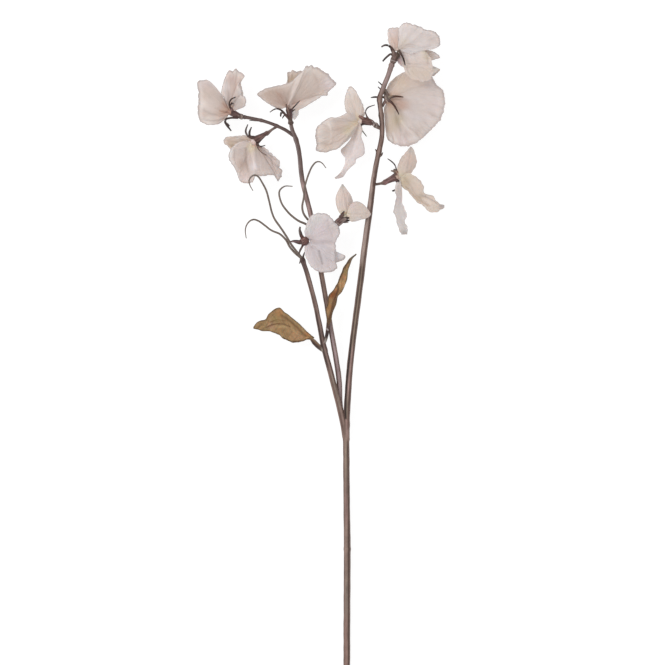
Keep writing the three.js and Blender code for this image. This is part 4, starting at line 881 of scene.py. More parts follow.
FANS_1 = [
    dict(
        rim=[[226.4, 119.4, 29.5], [217, 124.6, 37], [208, 124.8, 40.5], [200.8, 120.4, 41],
            [198.4, 112, 40.5], [199.6, 100, 39], [199, 90.4, 35.5], [197.6, 82.8, 31.5],
            [201.6, 80, 28.6], [208.4, 79.2, 24.6], [204.6, 84, 19], [202.6, 94, 10], [202.4, 104, 2.4],
            [204.6, 114, -0.8], [210.4, 121.4, 2], [218.6, 122.8, 9], [225.4, 118.6, 17.6]],
        bow=2.6, folds=[[0.2, 0.05, -1.2]], frill=[0.7, 5, 0.4], tint=(203, 187, 180),
        claw=(206, 176, 160), front=0.5, ruffle=0.25,
        patches=[(203.5, 84, 6, (202, 183, 181), 0.7), (207, 97, 7, (197, 177, 165), 0.5),
            (203, 106, 5, WHITE, 0.6), (212, 107, 6, (213, 199, 193), 0.5),
            (208, 123.4, 5, (222, 212, 206), 0.7), (223, 112, 6, (204, 168, 148), 0.6)],
        strokes=[([(199.4, 90), (200.2, 104), (199.2, 117)], 0.9, (160, 152, 150), 0.75),
            ([(231, 110.6), (226, 108), (221.6, 104)], 0.7, (170, 130, 112), 0.6),
            ([(231, 112.4), (225, 112.6), (219, 111.6)], 0.7, (164, 124, 106), 0.65),
            ([(231, 114.4), (226, 116), (219, 117.6)], 0.7, (168, 130, 112), 0.6),
            ([(209.4, 84), (216, 93), (223, 102)], 1.1, (214, 202, 198), 0.6)],
        creases=[([(204, 111), (211, 115), (218, 116.3), (224, 114), (229, 112)], 1.3, -0.9),
            ([(203.5, 120.2), (211, 121.6), (219, 121.4), (224, 119)], 0.9, -1),
            ([(214, 109), (222, 111.6), (227, 112)], 0.8, -0.6)],
    ),
    dict(
        rim=[[228.4, 104.6, 27.6], [224.6, 98, 30], [222, 91.4, 31.4], [224.2, 81.6, 33.4],
            [226, 78, 33.6], [229, 71.8, 33.4], [233.4, 71.4, 32.4], [236.2, 69.2, 31.6],
            [238.8, 71.6, 30.8], [243.8, 76.2, 31.6], [238.8, 83.4, 34], [239.8, 88, 35.4],
            [241.9, 91.8, 36], [240.9, 95.6, 36.2], [244.8, 97.6, 36.2], [246.2, 102.6, 35.4],
            [243.8, 107.4, 33], [239.6, 109.2, 30.8], [234.6, 109.6, 28]],
        bow=1.2, folds=[[0.3, 0.08, -0.8]], frill=[0.3, 5, 1], tint=(202, 184, 177), ruffle=0.2,
        crinkle=0.05,
        patches=[(225, 87, 4.5, (224, 214, 212), 0.85), (224.5, 97, 4, (216, 204, 201), 0.6),
            (232, 80, 5, (192, 171, 165), 0.85), (239, 103, 6, (186, 177, 172), 0.85),
            (237, 72, 3, (188, 184, 178), 0.6), (241, 93, 3.4, (178, 173, 171), 0.75)],
        creases=[([(233, 74), (231.5, 84), (230, 95), (229.5, 104)], 1.8, -0.35),
            ([(240.5, 96.6), (236.6, 98), (234.4, 102), (233, 107)], 0.9, -0.9)],
    ),
    dict(
        rim=[[227.6, 103.6, 23.6], [223, 95, 20], [223.6, 84, 16.6], [230, 75.6, 14.8], [238, 74, 14.4],
            [241.4, 83, 13.4], [242.8, 94, 12.8], [242.6, 103, 14.6], [236.4, 108.6, 20]],
        bow=-1.6, frill=[0.9, 3, 0], size=PLAIN,
    ),
    dict(
        rim=[[233.4, 105.4, 27.6], [237.4, 97.6, 28.6], [238.2, 88.4, 26.8], [236.4, 84, 24.6],
            [238, 89.6, 22.4], [237, 98.4, 20.8], [233.2, 105.6, 22.4]],
        bow=0.6, size=PLAIN,
    ),
]

# Bloom 2, at the top of the middle branch.
CALYX_2 = dict(
    cone=[MIDDLE_END, [290.8, 123.4, 26.8], [290.3, 120.6, 26.9], [289.6, 115.6, 27.1],
        [288.6, 109.6, 27.3]],
    cone_radii=[1.7, 3.1, 2.2, 2.7, 3.2],
    sepals=[
        ([1, 1, 0.8, 0.6, 0.5, 0.3],
            [[289.6, 119.8, 28.6], [285.2, 114.8, 30.6], [281.6, 110.9, 32], [277.6, 109.3, 32.6],
                [274, 110, 32.6], [269.9, 112.7, 32]]),
        ([1.1, 0.95, 0.5], [[284.6, 113.4, 30], [281.6, 113, 30], [280.6, 116.8, 29]]),
        ([0.8, 0.6, 0.3], [[286.6, 116.4, 28], [284.2, 115.8, 28], [282.4, 118.6, 27.4]]),
        ([1.5, 1, 0.4], [[288.6, 112.6, 30.4], [287.4, 108.4, 32.4], [286.3, 105, 34.4]]),
        ([1.2, 0.6, 0.5, 0.3],
            [[290.6, 112.6, 30], [292.2, 109.6, 33], [295.8, 105.9, 36], [299.8, 101.7, 38.4]]),
        ([0.9, 0.5, 0.3], [[291.4, 112.4, 29], [293.6, 110.6, 30.6], [295.2, 110.2, 31.4]])],
    strokes=[([(286.8, 106.6), (288.2, 110.4), (289.6, 114)], 0.9, (170, 140, 126), 0.8),
        ([(286, 106), (287.2, 111), (289, 117)], 0.45, (70, 46, 42), 0.9),
        ([(288.2, 107.6), (289.8, 112), (290.6, 117)], 0.45, (78, 52, 48), 0.85),
        ([(291.4, 109.6), (291.6, 115.6)], 1, (76, 56, 62), 0.8),
        ([(289.6, 117.6), (290.6, 120.6)], 1, (84, 74, 58), 0.7),
        ([(287.6, 123.2), (294.4, 123)], 1, (72, 56, 48), 0.7),
        ([(270, 112.4), (273, 110.6)], 1, (126, 116, 112), 0.8)],
)
FANS_2 = [
    dict(
        rim=[[280.4, 109.6, 29.4], [271, 105.2, 28.6], [263.4, 99.4, 25], [257.2, 93.8, 21],
            [263.2, 89.4, 23], [271.2, 87.2, 26], [281, 85.3, 29.4], [290, 82.8, 33.4], [297, 77, 37],
            [303.6, 70.6, 38.4], [306, 66.4, 38], [309, 67.2, 37.6], [311.6, 65.6, 37.2],
            [314.4, 68.2, 36.6], [318.4, 68.6, 36], [325.7, 73.3, 32.4], [329.6, 75.6, 30.4],
            [331.6, 79, 28.6], [336.4, 83.8, 25], [331.6, 88.6, 26.4], [327.6, 91.6, 27],
            [326.9, 94.8, 27.6], [323.4, 94.6, 28.6], [318.5, 98.2, 30.4], [307.6, 105.2, 32],
            [297.4, 110.6, 31]],
        bow=1.6, folds=[[0.5, 0.06, 2.4], [0.3, 0.09, -1.6], [0.76, 0.07, -0.6]], frill=[0.4, 7, 0],
        tint=(198, 181, 172), claw=(176, 148, 134), ruffle=0.3, crinkle=0.06,
        # The dark patches on the left lobe are painted shade where it slopes away from the light.
        patches=[(281, 98, 9, (160, 134, 122), 0.9), (270, 93, 9, (168, 148, 136), 0.85),
            (259, 94, 5, (172, 158, 150), 0.7), (312, 84, 10, (204, 188, 181), 0.5),
            (330, 83, 8, (214, 202, 206), 0.75), (300, 104, 5, (214, 192, 184), 0.6),
            (310, 69, 5, (202, 197, 194), 0.7), (305, 92, 6, (194, 174, 162), 0.5)],
        strokes=[([(258, 95), (266, 102), (276, 107.6), (283, 110)], 0.8, (130, 114, 110), 0.75),
            ([(303, 104.6), (302, 100), (304, 94)], 1.2, (206, 184, 174), 0.5),
            ([(289.4, 106), (296, 84.2), (303.3, 72.1)], 1.9, (210, 195, 189), 0.6),
            ([(262, 90.6), (272, 88), (281, 86.4), (289, 84)], 0.9, (150, 132, 122), 0.5),
            ([(284.6, 104), (282, 98), (276, 92)], 0.8, (150, 122, 108), 0.5),
            ([(294, 108.6), (302, 106), (312, 100.6), (322, 96)], 0.9, (214, 202, 198), 0.5)],
        creases=[([(289.4, 106), (296, 84.2), (303.3, 72.1)], 1.8, 0.4),
            ([(286.5, 103), (289.5, 92), (293.5, 83)], 1.6, -0.6),
            ([(312, 72), (317, 79), (319, 88)], 1.6, -0.3)],
    ),
    dict(
        rim=[[283.4, 99, 25], [284.4, 88, 21.6], [287.6, 75.4, 19.2], [287.2, 71.6, 18.8],
            [290.6, 71.4, 18.6], [292.2, 69, 18.4], [295.6, 71, 18.4], [303, 70.6, 18.4], [312, 80, 17],
            [312.6, 93, 17], [303, 103.4, 21]],
        # Its tint is darkened as painted shade, since this petal lies in the shade of the banner.
        bow=-2, frill=[0.8, 3, 0], tint=(176, 158, 144), size=PLAIN,
        patches=[(290, 72, 4, (180, 164, 156), 0.7), (291, 80, 4, (180, 160, 138), 0.7)],
    ),
    dict(
        rim=[[282, 104.6, 23.6], [270, 100, 15], [266, 95, 9.4], [273, 90.6, 6], [285, 89, 5],
            [296, 93, 6], [301, 101, 11], [296.6, 107, 20]],
        bow=-1.6, frill=[0.9, 3, 1], size=PLAIN,
    ),
    dict(
        rim=[[292.2, 111.6, 20.6], [292.6, 116.6, 16.6], [294.6, 119.4, 14], [297.4, 116.6, 13],
            [299.6, 109, 14], [297.4, 103, 19]],
        bow=0.8, tint=(222, 216, 214), claw=(206, 192, 184), size=PLAIN,
    ),
]

# Bloom 3, hanging from the arm.
CALYX_3 = dict(
    cone=[[276.6, 126.6, 25.9], [272.4, 129.4, 26], [269.3, 132, 26.1], [267, 133.4, 26.3],
        [265.2, 134.2, 26.4], [260.6, 137.2, 26.6], [254.7, 141.2, 26.9]],
    cone_radii=[1.2, 1.2, 1.5, 2.5, 2, 3.1, 4.9],
    sepals=[
        ([1.4, 0.8, 0.85, 0.75, 0.35],
            [[253.6, 138.2, 30.4], [249, 137, 31.4], [246.6, 134, 31.6], [246, 130.4, 31.6],
                [248, 124.8, 31.6]]),
        ([1.3, 1, 0.95, 0.4],
            [[254.6, 137.4, 29.6], [250.4, 136.4, 30], [249.7, 132.6, 30], [251.6, 127.3, 29.6]]),
        ([1, 0.55, 0.3],
            [[257.6, 143.6, 30.8], [259.4, 146.4, 32.4], [262, 146.7, 33.4], [265.4, 145.8, 34.2]]),
        ([1, 0.45, 0.4, 0.2],
            [[257, 144, 31], [258.4, 148.8, 35], [261.8, 152.9, 37.4], [267.4, 156, 38]]),
        ([1.4, 1, 0.4], [[256.6, 141.6, 23.4], [252.6, 146.6, 20.4], [250.6, 151, 18.6]])],
    strokes=[([(261, 139.4), (265, 136.4)], 1.3, (116, 94, 88), 0.7),
        ([(252.6, 137), (259, 135), (264.6, 132.6)], 0.5, (50, 34, 34), 0.8),
        ([(258.6, 143), (263, 139), (266.8, 136.2)], 0.5, (56, 40, 38), 0.7),
        ([(247, 126), (246, 131), (247.4, 136)], 0.5, (108, 92, 86), 0.6),
        ([(258.6, 147.6), (261.8, 152.9), (267.4, 156)], 1.2, (132, 108, 100), 0.8),
        ([(269.6, 130.6), (273, 128.8)], 0.5, (130, 116, 106), 0.6)],
)
FANS_3 = [
    dict(
        rim=[[246.6, 140.6, 28.6], [238, 143.2, 30], [231.4, 148.6, 30], [228.7, 155.6, 29.4],
            [230.4, 162, 29.4], [235, 168.6, 30.4], [237.6, 175, 31.4], [240.4, 181.6, 31.6],
            [246, 183.2, 33.4], [252.4, 182.8, 35.4], [256.6, 176.8, 37.6], [264, 176.6, 36],
            [271.4, 175, 33.4], [275, 175.4, 31.4], [278, 180.8, 28.4], [280.6, 178.4, 27.4],
            [282.2, 171, 27], [279.6, 168.6, 28], [279.2, 162.4, 29], [275.8, 158.6, 30],
            [271, 154.4, 30.6], [266.4, 150.4, 30.6], [260.6, 147.6, 30]],
        bow=1.6, folds=[[0.5, 0.06, 2.2], [0.36, 0.06, -1.6], [0.17, 0.05, 1.2]], frill=[0.5, 9, 0],
        tint=(198, 182, 176), claw=(206, 186, 164), ruffle=0.35, flutes=0.4,
        patches=[(241, 153, 5, (184, 171, 166), 0.75), (250.5, 149, 4, (200, 186, 162), 0.75),
            (242, 165, 6, (172, 152, 142), 0.9), (244, 179, 5, (204, 180, 176), 0.8),
            (255, 168, 4, (220, 210, 212), 0.7), (273, 168, 5, (193, 180, 177), 0.7),
            (262, 154, 4, (199, 176, 163), 0.5), (279, 176, 3, (172, 166, 168), 0.7)],
        strokes=[([(231, 151), (229.8, 159), (233, 167), (238, 177)], 1.9, (208, 204, 203), 0.85),
            ([(251, 140), (254.6, 144.4), (259.4, 147.6)], 1.5, (206, 160, 152), 0.9),
            ([(258, 149), (261, 153), (267, 156.6)], 0.6, (138, 116, 112), 0.7),
            ([(262, 150), (267, 154.4), (273, 161)], 0.6, (150, 138, 138), 0.65),
            ([(264, 149.6), (270, 154), (276.6, 161), (278, 167)], 0.7, (150, 142, 144), 0.6),
            ([(260, 154), (264, 161), (266, 170)], 0.9, (190, 173, 167), 0.6),
            ([(266, 158), (270, 166), (273, 173)], 0.8, (194, 181, 178), 0.5),
            ([(246.4, 150), (246, 160), (248.5, 172)], 1.3, (178, 158, 148), 0.6)],
        creases=[([(250.7, 143), (253, 156.3), (256.5, 170)], 1.5, 1.1),
            ([(246.6, 150), (246, 160), (248.5, 172)], 1.6, -0.9),
            ([(234.6, 150), (234.6, 160), (238, 169), (242.6, 180)], 1, -0.8),
            ([(271.6, 158), (273, 166), (277, 174)], 0.9, -0.8)],
    ),
    dict(
        rim=[[251, 137.4, 27.4], [244, 135.4, 25.6], [236, 136.1, 23], [226.4, 137, 20.6],
            [223, 141.2, 18.6], [227.4, 147, 17], [234, 152, 15.6], [243, 154.6, 16], [251, 151, 20]],
        bow=1.2, frill=[0.5, 3, 0], tint=(188, 170, 158), claw=(196, 170, 160),
        patches=[(232, 146, 4, (182, 162, 138), 0.8), (238, 138, 3, (200, 188, 180), 0.7)],
        creases=[([(226, 140), (236, 141.6), (243, 140)], 1, -0.5)],
    ),
    dict(
        rim=[[246.6, 148, 21], [238, 154, 13.6], [235.6, 163, 8], [241, 171, 5.6], [252, 173.6, 5],
            [263, 170.6, 6.6], [268.6, 161, 11], [262.6, 150.4, 20]],
        bow=-1.4, frill=[0.9, 3, 0.6], size=PLAIN,
    ),
]

# Bloom 4, on the left of the right branch.
CALYX_4 = dict(
    cone=[[381, 129, 26.2], [377.6, 127, 26.4], [375.6, 125.4, 26.4], [373.4, 124, 26.5],
        [371.6, 123, 26.6], [366.6, 121.6, 26.8], [361.6, 121, 27.1]],
    cone_radii=[1.4, 1.9, 2.8, 2.1, 3.2, 4, 3.7],
    sepals=[
        ([1.3, 0.5, 0.45, 0.45, 0.25],
            [[368.6, 120.6, 29.6], [366.4, 115.6, 31], [365.5, 112, 31.4], [368, 107.9, 31.4],
                [374.8, 105.3, 31.4]]),
        ([0.8, 0.7, 0.45, 0.25],
            [[361.6, 124, 23.6], [361, 128.4, 22.6], [363.4, 132, 23.4], [366.6, 136.4, 24.6]]),
        ([1.9, 1.5, 1.2, 0.8],
            [[365.6, 120, 29.6], [362.6, 118.4, 30.4], [360.4, 117.2, 30.8], [358.8, 116.2, 30.8]]),
        ([1.4, 1, 0.4], [[363, 120, 23.8], [357.6, 114.4, 21], [354, 109.4, 19]]),
        ([1.5, 1, 0.5], [[364.6, 123.4, 29], [362.4, 124.6, 29.6], [361, 125.4, 29.6]])],
    strokes=[([(359.4, 116.4), (362.6, 118)], 1.6, (164, 124, 112), 0.8),
        ([(364, 119.6), (370, 121.4)], 2.6, (106, 74, 64), 0.5),
        ([(372.2, 121.6), (374.2, 124), (372.6, 127.4)], 0.5, (196, 184, 178), 0.85),
        ([(374.8, 122.8), (377, 125.4), (375.6, 128.6)], 0.5, (190, 178, 172), 0.85),
        ([(373.6, 122), (375.6, 124.8), (374, 128.2)], 0.4, (48, 34, 30), 0.85),
        ([(363, 123.6), (367, 125.4), (371, 126)], 0.5, (58, 40, 36), 0.8),
        ([(361.4, 130), (366.6, 136.4)], 1.5, (116, 116, 104), 0.8)],
)
FANS_4 = [
    dict(
        rim=[[364.8, 115, 27.4], [363.4, 106.6, 29.4], [358, 95.6, 31], [353.5, 88.9, 31],
            [349.8, 86.8, 30.4], [346.9, 91, 29.4], [344.7, 100, 28.6], [345.4, 109, 28.6],
            [349, 115.6, 28.6]],
        bow=1.6, folds=[[0.5, 0.14, -1]], frill=[0.3, 3, 0], tint=(211, 195, 186), claw=(212, 192, 168),
        ruffle=0.2, patches=[(350, 92, 6, (214, 205, 201), 0.6), (357, 100, 4, (205, 186, 174), 0.6)],
        creases=[([(349.5, 90), (352, 101), (356, 112)], 1.1, -0.35),
            ([(353, 93), (356.4, 103), (359.6, 112)], 1, -0.3)],
    ),
    dict(
        rim=[[352, 113.4, 30.4], [346.5, 113.6, 32], [341.2, 116.6, 33.6], [336, 118.4, 35],
            [329.8, 118.3, 36.4], [322, 124, 38], [316.8, 128.4, 38.4], [315.5, 136, 38.6],
            [316.8, 144.6, 37.4], [316.4, 151, 36], [325.8, 152.6, 36.4], [332, 150.6, 36.4],
            [337.1, 149.4, 35.6], [342, 145.6, 34], [347, 141, 32.4], [352, 136, 31],
            [356.2, 129.2, 29.4]],
        bow=2.4, folds=[[0.28, 0.05, -1.2], [0.4, 0.05, 1]], frill=[0.4, 6, 0], tint=(202, 186, 178),
        claw=(210, 190, 166), ruffle=0.3,
        patches=[(330, 123.6, 3.2, (222, 212, 207), 0.85), (338, 128, 6, (190, 168, 156), 0.7),
            (322, 140, 7, (196, 184, 178), 0.6), (334, 121, 3, (196, 184, 180), 0.6),
            (347, 131, 5, (195, 183, 154), 0.75), (340, 140, 4, (206, 183, 171), 0.5),
            (328, 149, 6, (190, 170, 156), 0.7), (320, 130, 5, (208, 194, 188), 0.5)],
        creases=[([(327, 119), (329.6, 127), (331, 137), (330, 144)], 1.3, 0.6),
            ([(322, 123.6), (327, 127), (330, 134)], 1, -0.5),
            ([(318, 143.5), (328, 145.5), (338, 142.5), (346, 136.5)], 1.1, -0.9)],
    ),
    dict(
        rim=[[351, 114.6, 23.4], [340, 120.4, 15], [327, 126, 9], [321, 134, 6], [322.6, 144, 5.4],
            [333, 147, 7.6], [345, 139.6, 13], [354.6, 129.4, 21.6]],
        bow=-2, frill=[0.9, 3, 0], size=PLAIN,
    ),
    dict(
        rim=[[362.4, 113, 23.6], [357.4, 99, 19], [352, 91.6, 17], [348.4, 98, 15.4], [348.6, 108, 16.6],
            [352.6, 116, 20.6]],
        bow=-1, size=PLAIN,
    ),
]
STRAPS_4 = [
    dict(
        left=[[358.4, 123.4, 25.4], [355.2, 128.4, 24.6], [352.2, 134, 23.6], [350.6, 139, 22.4],
            [345.6, 145, 20.6], [340.8, 149.8, 19], [342.4, 154.4, 18], [345.2, 158.6, 17],
            [344.6, 164.6, 15.6], [340.4, 172, 13], [334.6, 177.2, 11]],
        right=[[360.6, 124.6, 25.4], [362.6, 129.6, 24.6], [361.2, 136.4, 23.8], [363.4, 143, 22.8],
            [364.6, 149.6, 21.4], [363.6, 154.8, 20], [356.4, 158.8, 18], [355.4, 162.6, 17],
            [350.6, 167, 15], [346.4, 171.6, 13.4], [342.8, 176.6, 12], [335.4, 178.4, 11]],
        cup=1.6, frill=[0.9, 2, 0], tint=(221, 208, 206), claw=(216, 200, 192), ruffle=0.5,
        patches=[(352, 150, 6, (221, 207, 207), 0.6), (340, 174, 5, (194, 184, 183), 0.8),
            (344, 150, 4, (206, 190, 181), 0.5), (356, 138, 4, (210, 194, 192), 0.5)],
        creases=[([(357, 130), (354, 142), (351, 154)], 1.2, -0.5),
            ([(348, 146), (347, 160), (342, 172)], 1, 0.4)],
    ),
]

# Bloom 5, at the top of the right branch.
CALYX_5 = dict(
    cone=[RIGHT_END, [393.6, 60.6, 29.4], [395, 57.2, 29.6], [397, 53, 29.8]],
    cone_radii=[2.7, 3.5, 3.4, 4.7],
    sepals=[
        ([1.6, 1.1, 0.95, 0.85, 0.8, 0.6],
            [[394.4, 55, 32.6], [392.6, 50.8, 33], [390.6, 48, 33.4], [387.4, 46.1, 33.6],
                [384.4, 46, 33.6], [381.2, 47.7, 33.6]]),
        ([1.5, 0.9, 0.85, 0.8, 0.6],
            [[393.6, 56.4, 31], [390.6, 54.8, 32], [387.6, 56.8, 32.2], [384.8, 59.4, 32.2],
                [382.6, 61.9, 32]]),
        ([1.3, 0.8, 0.7, 0.35],
            [[398.6, 51, 35], [401, 55.6, 38.4], [403.4, 60.8, 41.4], [404.8, 66.6, 43]]),
        ([1.4, 1, 0.4], [[397, 54, 26.4], [401, 49.6, 22.6], [404, 45, 20.6]]),
        ([1.4, 1, 0.4], [[394, 55, 26.4], [391.4, 49, 23.4], [390, 44, 21.6]])],
    strokes=[([(393, 53), (392.8, 58)], 1.3, (152, 130, 120), 0.75),
        ([(398, 52), (397.6, 58)], 1.9, (94, 82, 68), 0.8),
        ([(391.2, 60.6), (396.6, 62.4)], 0.5, (176, 162, 158), 0.85),
        ([(391, 59.4), (396.8, 61.2)], 0.4, (70, 52, 46), 0.7),
        ([(381.2, 47.4), (383.4, 46)], 1, (116, 102, 96), 0.7)],
)
FANS_5 = [
    dict(
        rim=[[393.6, 52.6, 30], [390.6, 47.6, 30.6], [388.3, 42, 31], [387.9, 35.8, 31.4],
            [388.3, 29.6, 30.6], [394, 27.8, 29.4], [399.4, 29, 28.4], [402, 38, 28], [401, 46, 28.6]],
        bow=1, folds=[[0.5, 0.1, -0.5]], frill=[0.2, 3, 0], crinkle=0.05, tint=(206, 188, 181), ruffle=0.2,
        claw=(204, 180, 168),
        patches=[(393, 33, 5, (213, 198, 198), 0.7), (395, 42, 5, (207, 180, 168), 0.8)],
    ),
    dict(
        rim=[[398.6, 41, 34], [398.7, 31.6, 36.6], [402, 25.4, 38], [407, 23.8, 38.4], [413, 25.8, 38.4],
            [419, 27.3, 37.4], [425.2, 30.7, 36.4], [431.4, 31.6, 34.6], [437, 34.4, 33],
            [440, 40.6, 31.6], [439.4, 45.6, 31.4], [435.4, 48.4, 32.4], [429, 49.4, 33.6],
            [420, 52, 35.4], [411, 55, 35]],
        bow=2.2, folds=[[0.3, 0.1, 0.6], [0.62, 0.09, -0.7]], frill=[0.25, 5, 0], lined=0.73,
        tint=(213, 201, 198), claw=(211, 195, 185), ruffle=0.3, crinkle=0.04,
        patches=[(418, 28, 7, (199, 191, 189), 0.5), (409, 35, 6, (218, 206, 204), 0.5),
            (434, 40, 5, (197, 183, 179), 0.8), (404, 42, 4, (211, 197, 182), 0.7),
            (416, 44, 7, (219, 209, 205), 0.6)],
        creases=[([(402, 46), (410, 45), (421, 47), (430, 46.5)], 1.3, -0.4),
            ([(428, 33), (431, 39), (430, 45)], 1.8, -0.2)],
    ),
    dict(
        rim=[[403, 52.6, 33.6], [402.4, 59.6, 36.4], [403.4, 66, 38.6], [406, 73, 40], [410.6, 78.4, 40.4],
            [416, 80.4, 40.4], [422, 82.3, 39.6], [428, 80.8, 38], [432, 75.6, 36.4], [431.9, 66, 35.6],
            [430.2, 58.8, 35], [424, 52, 34.4], [413, 47, 33.4]],
        bow=2, folds=[[0.35, 0.07, -0.7], [0.55, 0.06, 0.6], [0.75, 0.06, -0.8]], frill=[0.3, 5, 1],
        crinkle=0.05, lined=0, tint=(216, 198, 190), claw=(218, 206, 202), ruffle=0.3,
        patches=[(408, 55, 5, (216, 203, 201), 0.6), (416.5, 56, 3.6, (217, 205, 201), 0.6),
            (426.5, 58, 3.4, (204, 186, 164), 0.7), (425, 52, 3, (214, 202, 176), 0.7),
            (413, 74, 7, (203, 184, 168), 0.8), (425, 75, 6, (203, 185, 170), 0.8)],
        creases=[([(425, 50), (427, 57), (428, 64)], 1.2, -0.8),
            ([(414.6, 50), (415.6, 58), (416.6, 63)], 1, -0.4), ([(409, 50), (410.5, 60)], 1, 0.5),
            ([(404, 64.5), (414, 65.5), (424, 64.8), (430, 64)], 1, -0.7),
            ([(406, 69), (414, 67.5), (424, 69), (430, 70)], 0.9, -0.4)],
    ),
    dict(
        rim=[[404, 45, 26.6], [419, 46, 25], [429, 49.6, 24], [435.8, 52.7, 23], [440.2, 57.4, 22],
            [433, 60, 22], [429, 64, 22], [433, 68.2, 21.6], [440, 68.8, 21], [438.4, 71.9, 20.6],
            [432, 76.4, 20.6], [420, 77, 22], [408, 71, 24], [400.6, 60, 26]],
        bow=-1, frill=[0.6, 4, 0], tint=(206, 191, 184), ruffle=0.3,
        # The pale patch at the tabs' lower end is painted light, lifting the shade that the upper petals
        # cast on them.
        patches=[(437, 56, 4, (198, 184, 183), 0.7), (436, 70, 5, (238, 228, 217), 0.9)],
    ),
    dict(
        rim=[[400, 57.6, 27], [397.4, 60.6, 25.6], [398.8, 64, 24.4], [403, 66.6, 23], [408, 63, 22.6],
            [408, 56, 24.6]],
        bow=0.6, tint=(207, 186, 189), size=PLAIN,
    ),
    dict(
        rim=[[398.6, 43, 24], [405, 34, 16.6], [415, 30, 11], [426.6, 35.6, 8], [429, 47, 7.4],
            [421, 58, 8.6], [409, 60, 14.6], [400, 56.6, 22.6]],
        bow=-1.6, frill=[0.9, 3, 0], size=PLAIN,
    ),
]

# Bloom 6, below bloom 5, with the widest banner.
CALYX_6 = dict(
    cone=[[383.6, 88.2, 26.6], [385.6, 92.4, 25], [387, 96, 24], [387.8, 99.4, 23.4]],
    cone_radii=[1.6, 2.2, 3, 3.6],
    sepals=[
        ([1.6, 1.1, 0.85, 0.7, 0.3],
            [[388.2, 98, 26.4], [391.6, 96.9, 27], [395.6, 96.5, 27.4], [399, 96.6, 27.2],
                [403.4, 97.2, 26.6]]),
        ([1.4, 0.9, 0.8, 0.3],
            [[388, 99.8, 26.2], [391.8, 102.8, 27], [395.2, 107.4, 27.4], [399, 114.6, 27]]),
        ([1.4, 0.8, 0.8, 0.35],
            [[386.4, 97, 24], [378, 96.9, 23.6], [374.6, 96.9, 24], [370.8, 97.5, 24.6]]),
        ([1.2, 0.6, 0.5, 0.3],
            [[385.6, 91.4, 24.6], [382.6, 86, 24], [380.8, 83.8, 24.4], [378.2, 81.6, 24.8]]),
        ([0.5, 0.45, 0.3], [[382, 91, 24.6], [379.8, 88.6, 26.4], [377.9, 86.8, 27]]),
        ([1.6, 1.5, 0.6], [[386.6, 99.4, 24], [384.2, 102.8, 25.4], [382.6, 107, 25.6]])],
    strokes=[([(384.6, 96), (387, 99.4)], 1.3, (172, 156, 144), 0.85),
        ([(386.4, 92), (388.6, 98.6)], 1.7, (130, 118, 107), 0.65),
        ([(389, 96.8), (391.4, 96)], 1, (166, 148, 126), 0.75),
        ([(394.4, 96.6), (402.4, 97)], 0.9, (84, 48, 34), 0.8),
        ([(392.4, 104), (398.4, 113)], 1, (84, 48, 34), 0.8),
        ([(384, 91), (385.2, 94)], 1.1, (92, 82, 68), 0.7),
        ([(385.2, 101), (383.6, 104.6)], 1.4, (146, 118, 110), 0.8),
        ([(388, 102.4), (393, 108.4)], 0.4, (126, 98, 88), 0.7)],
)
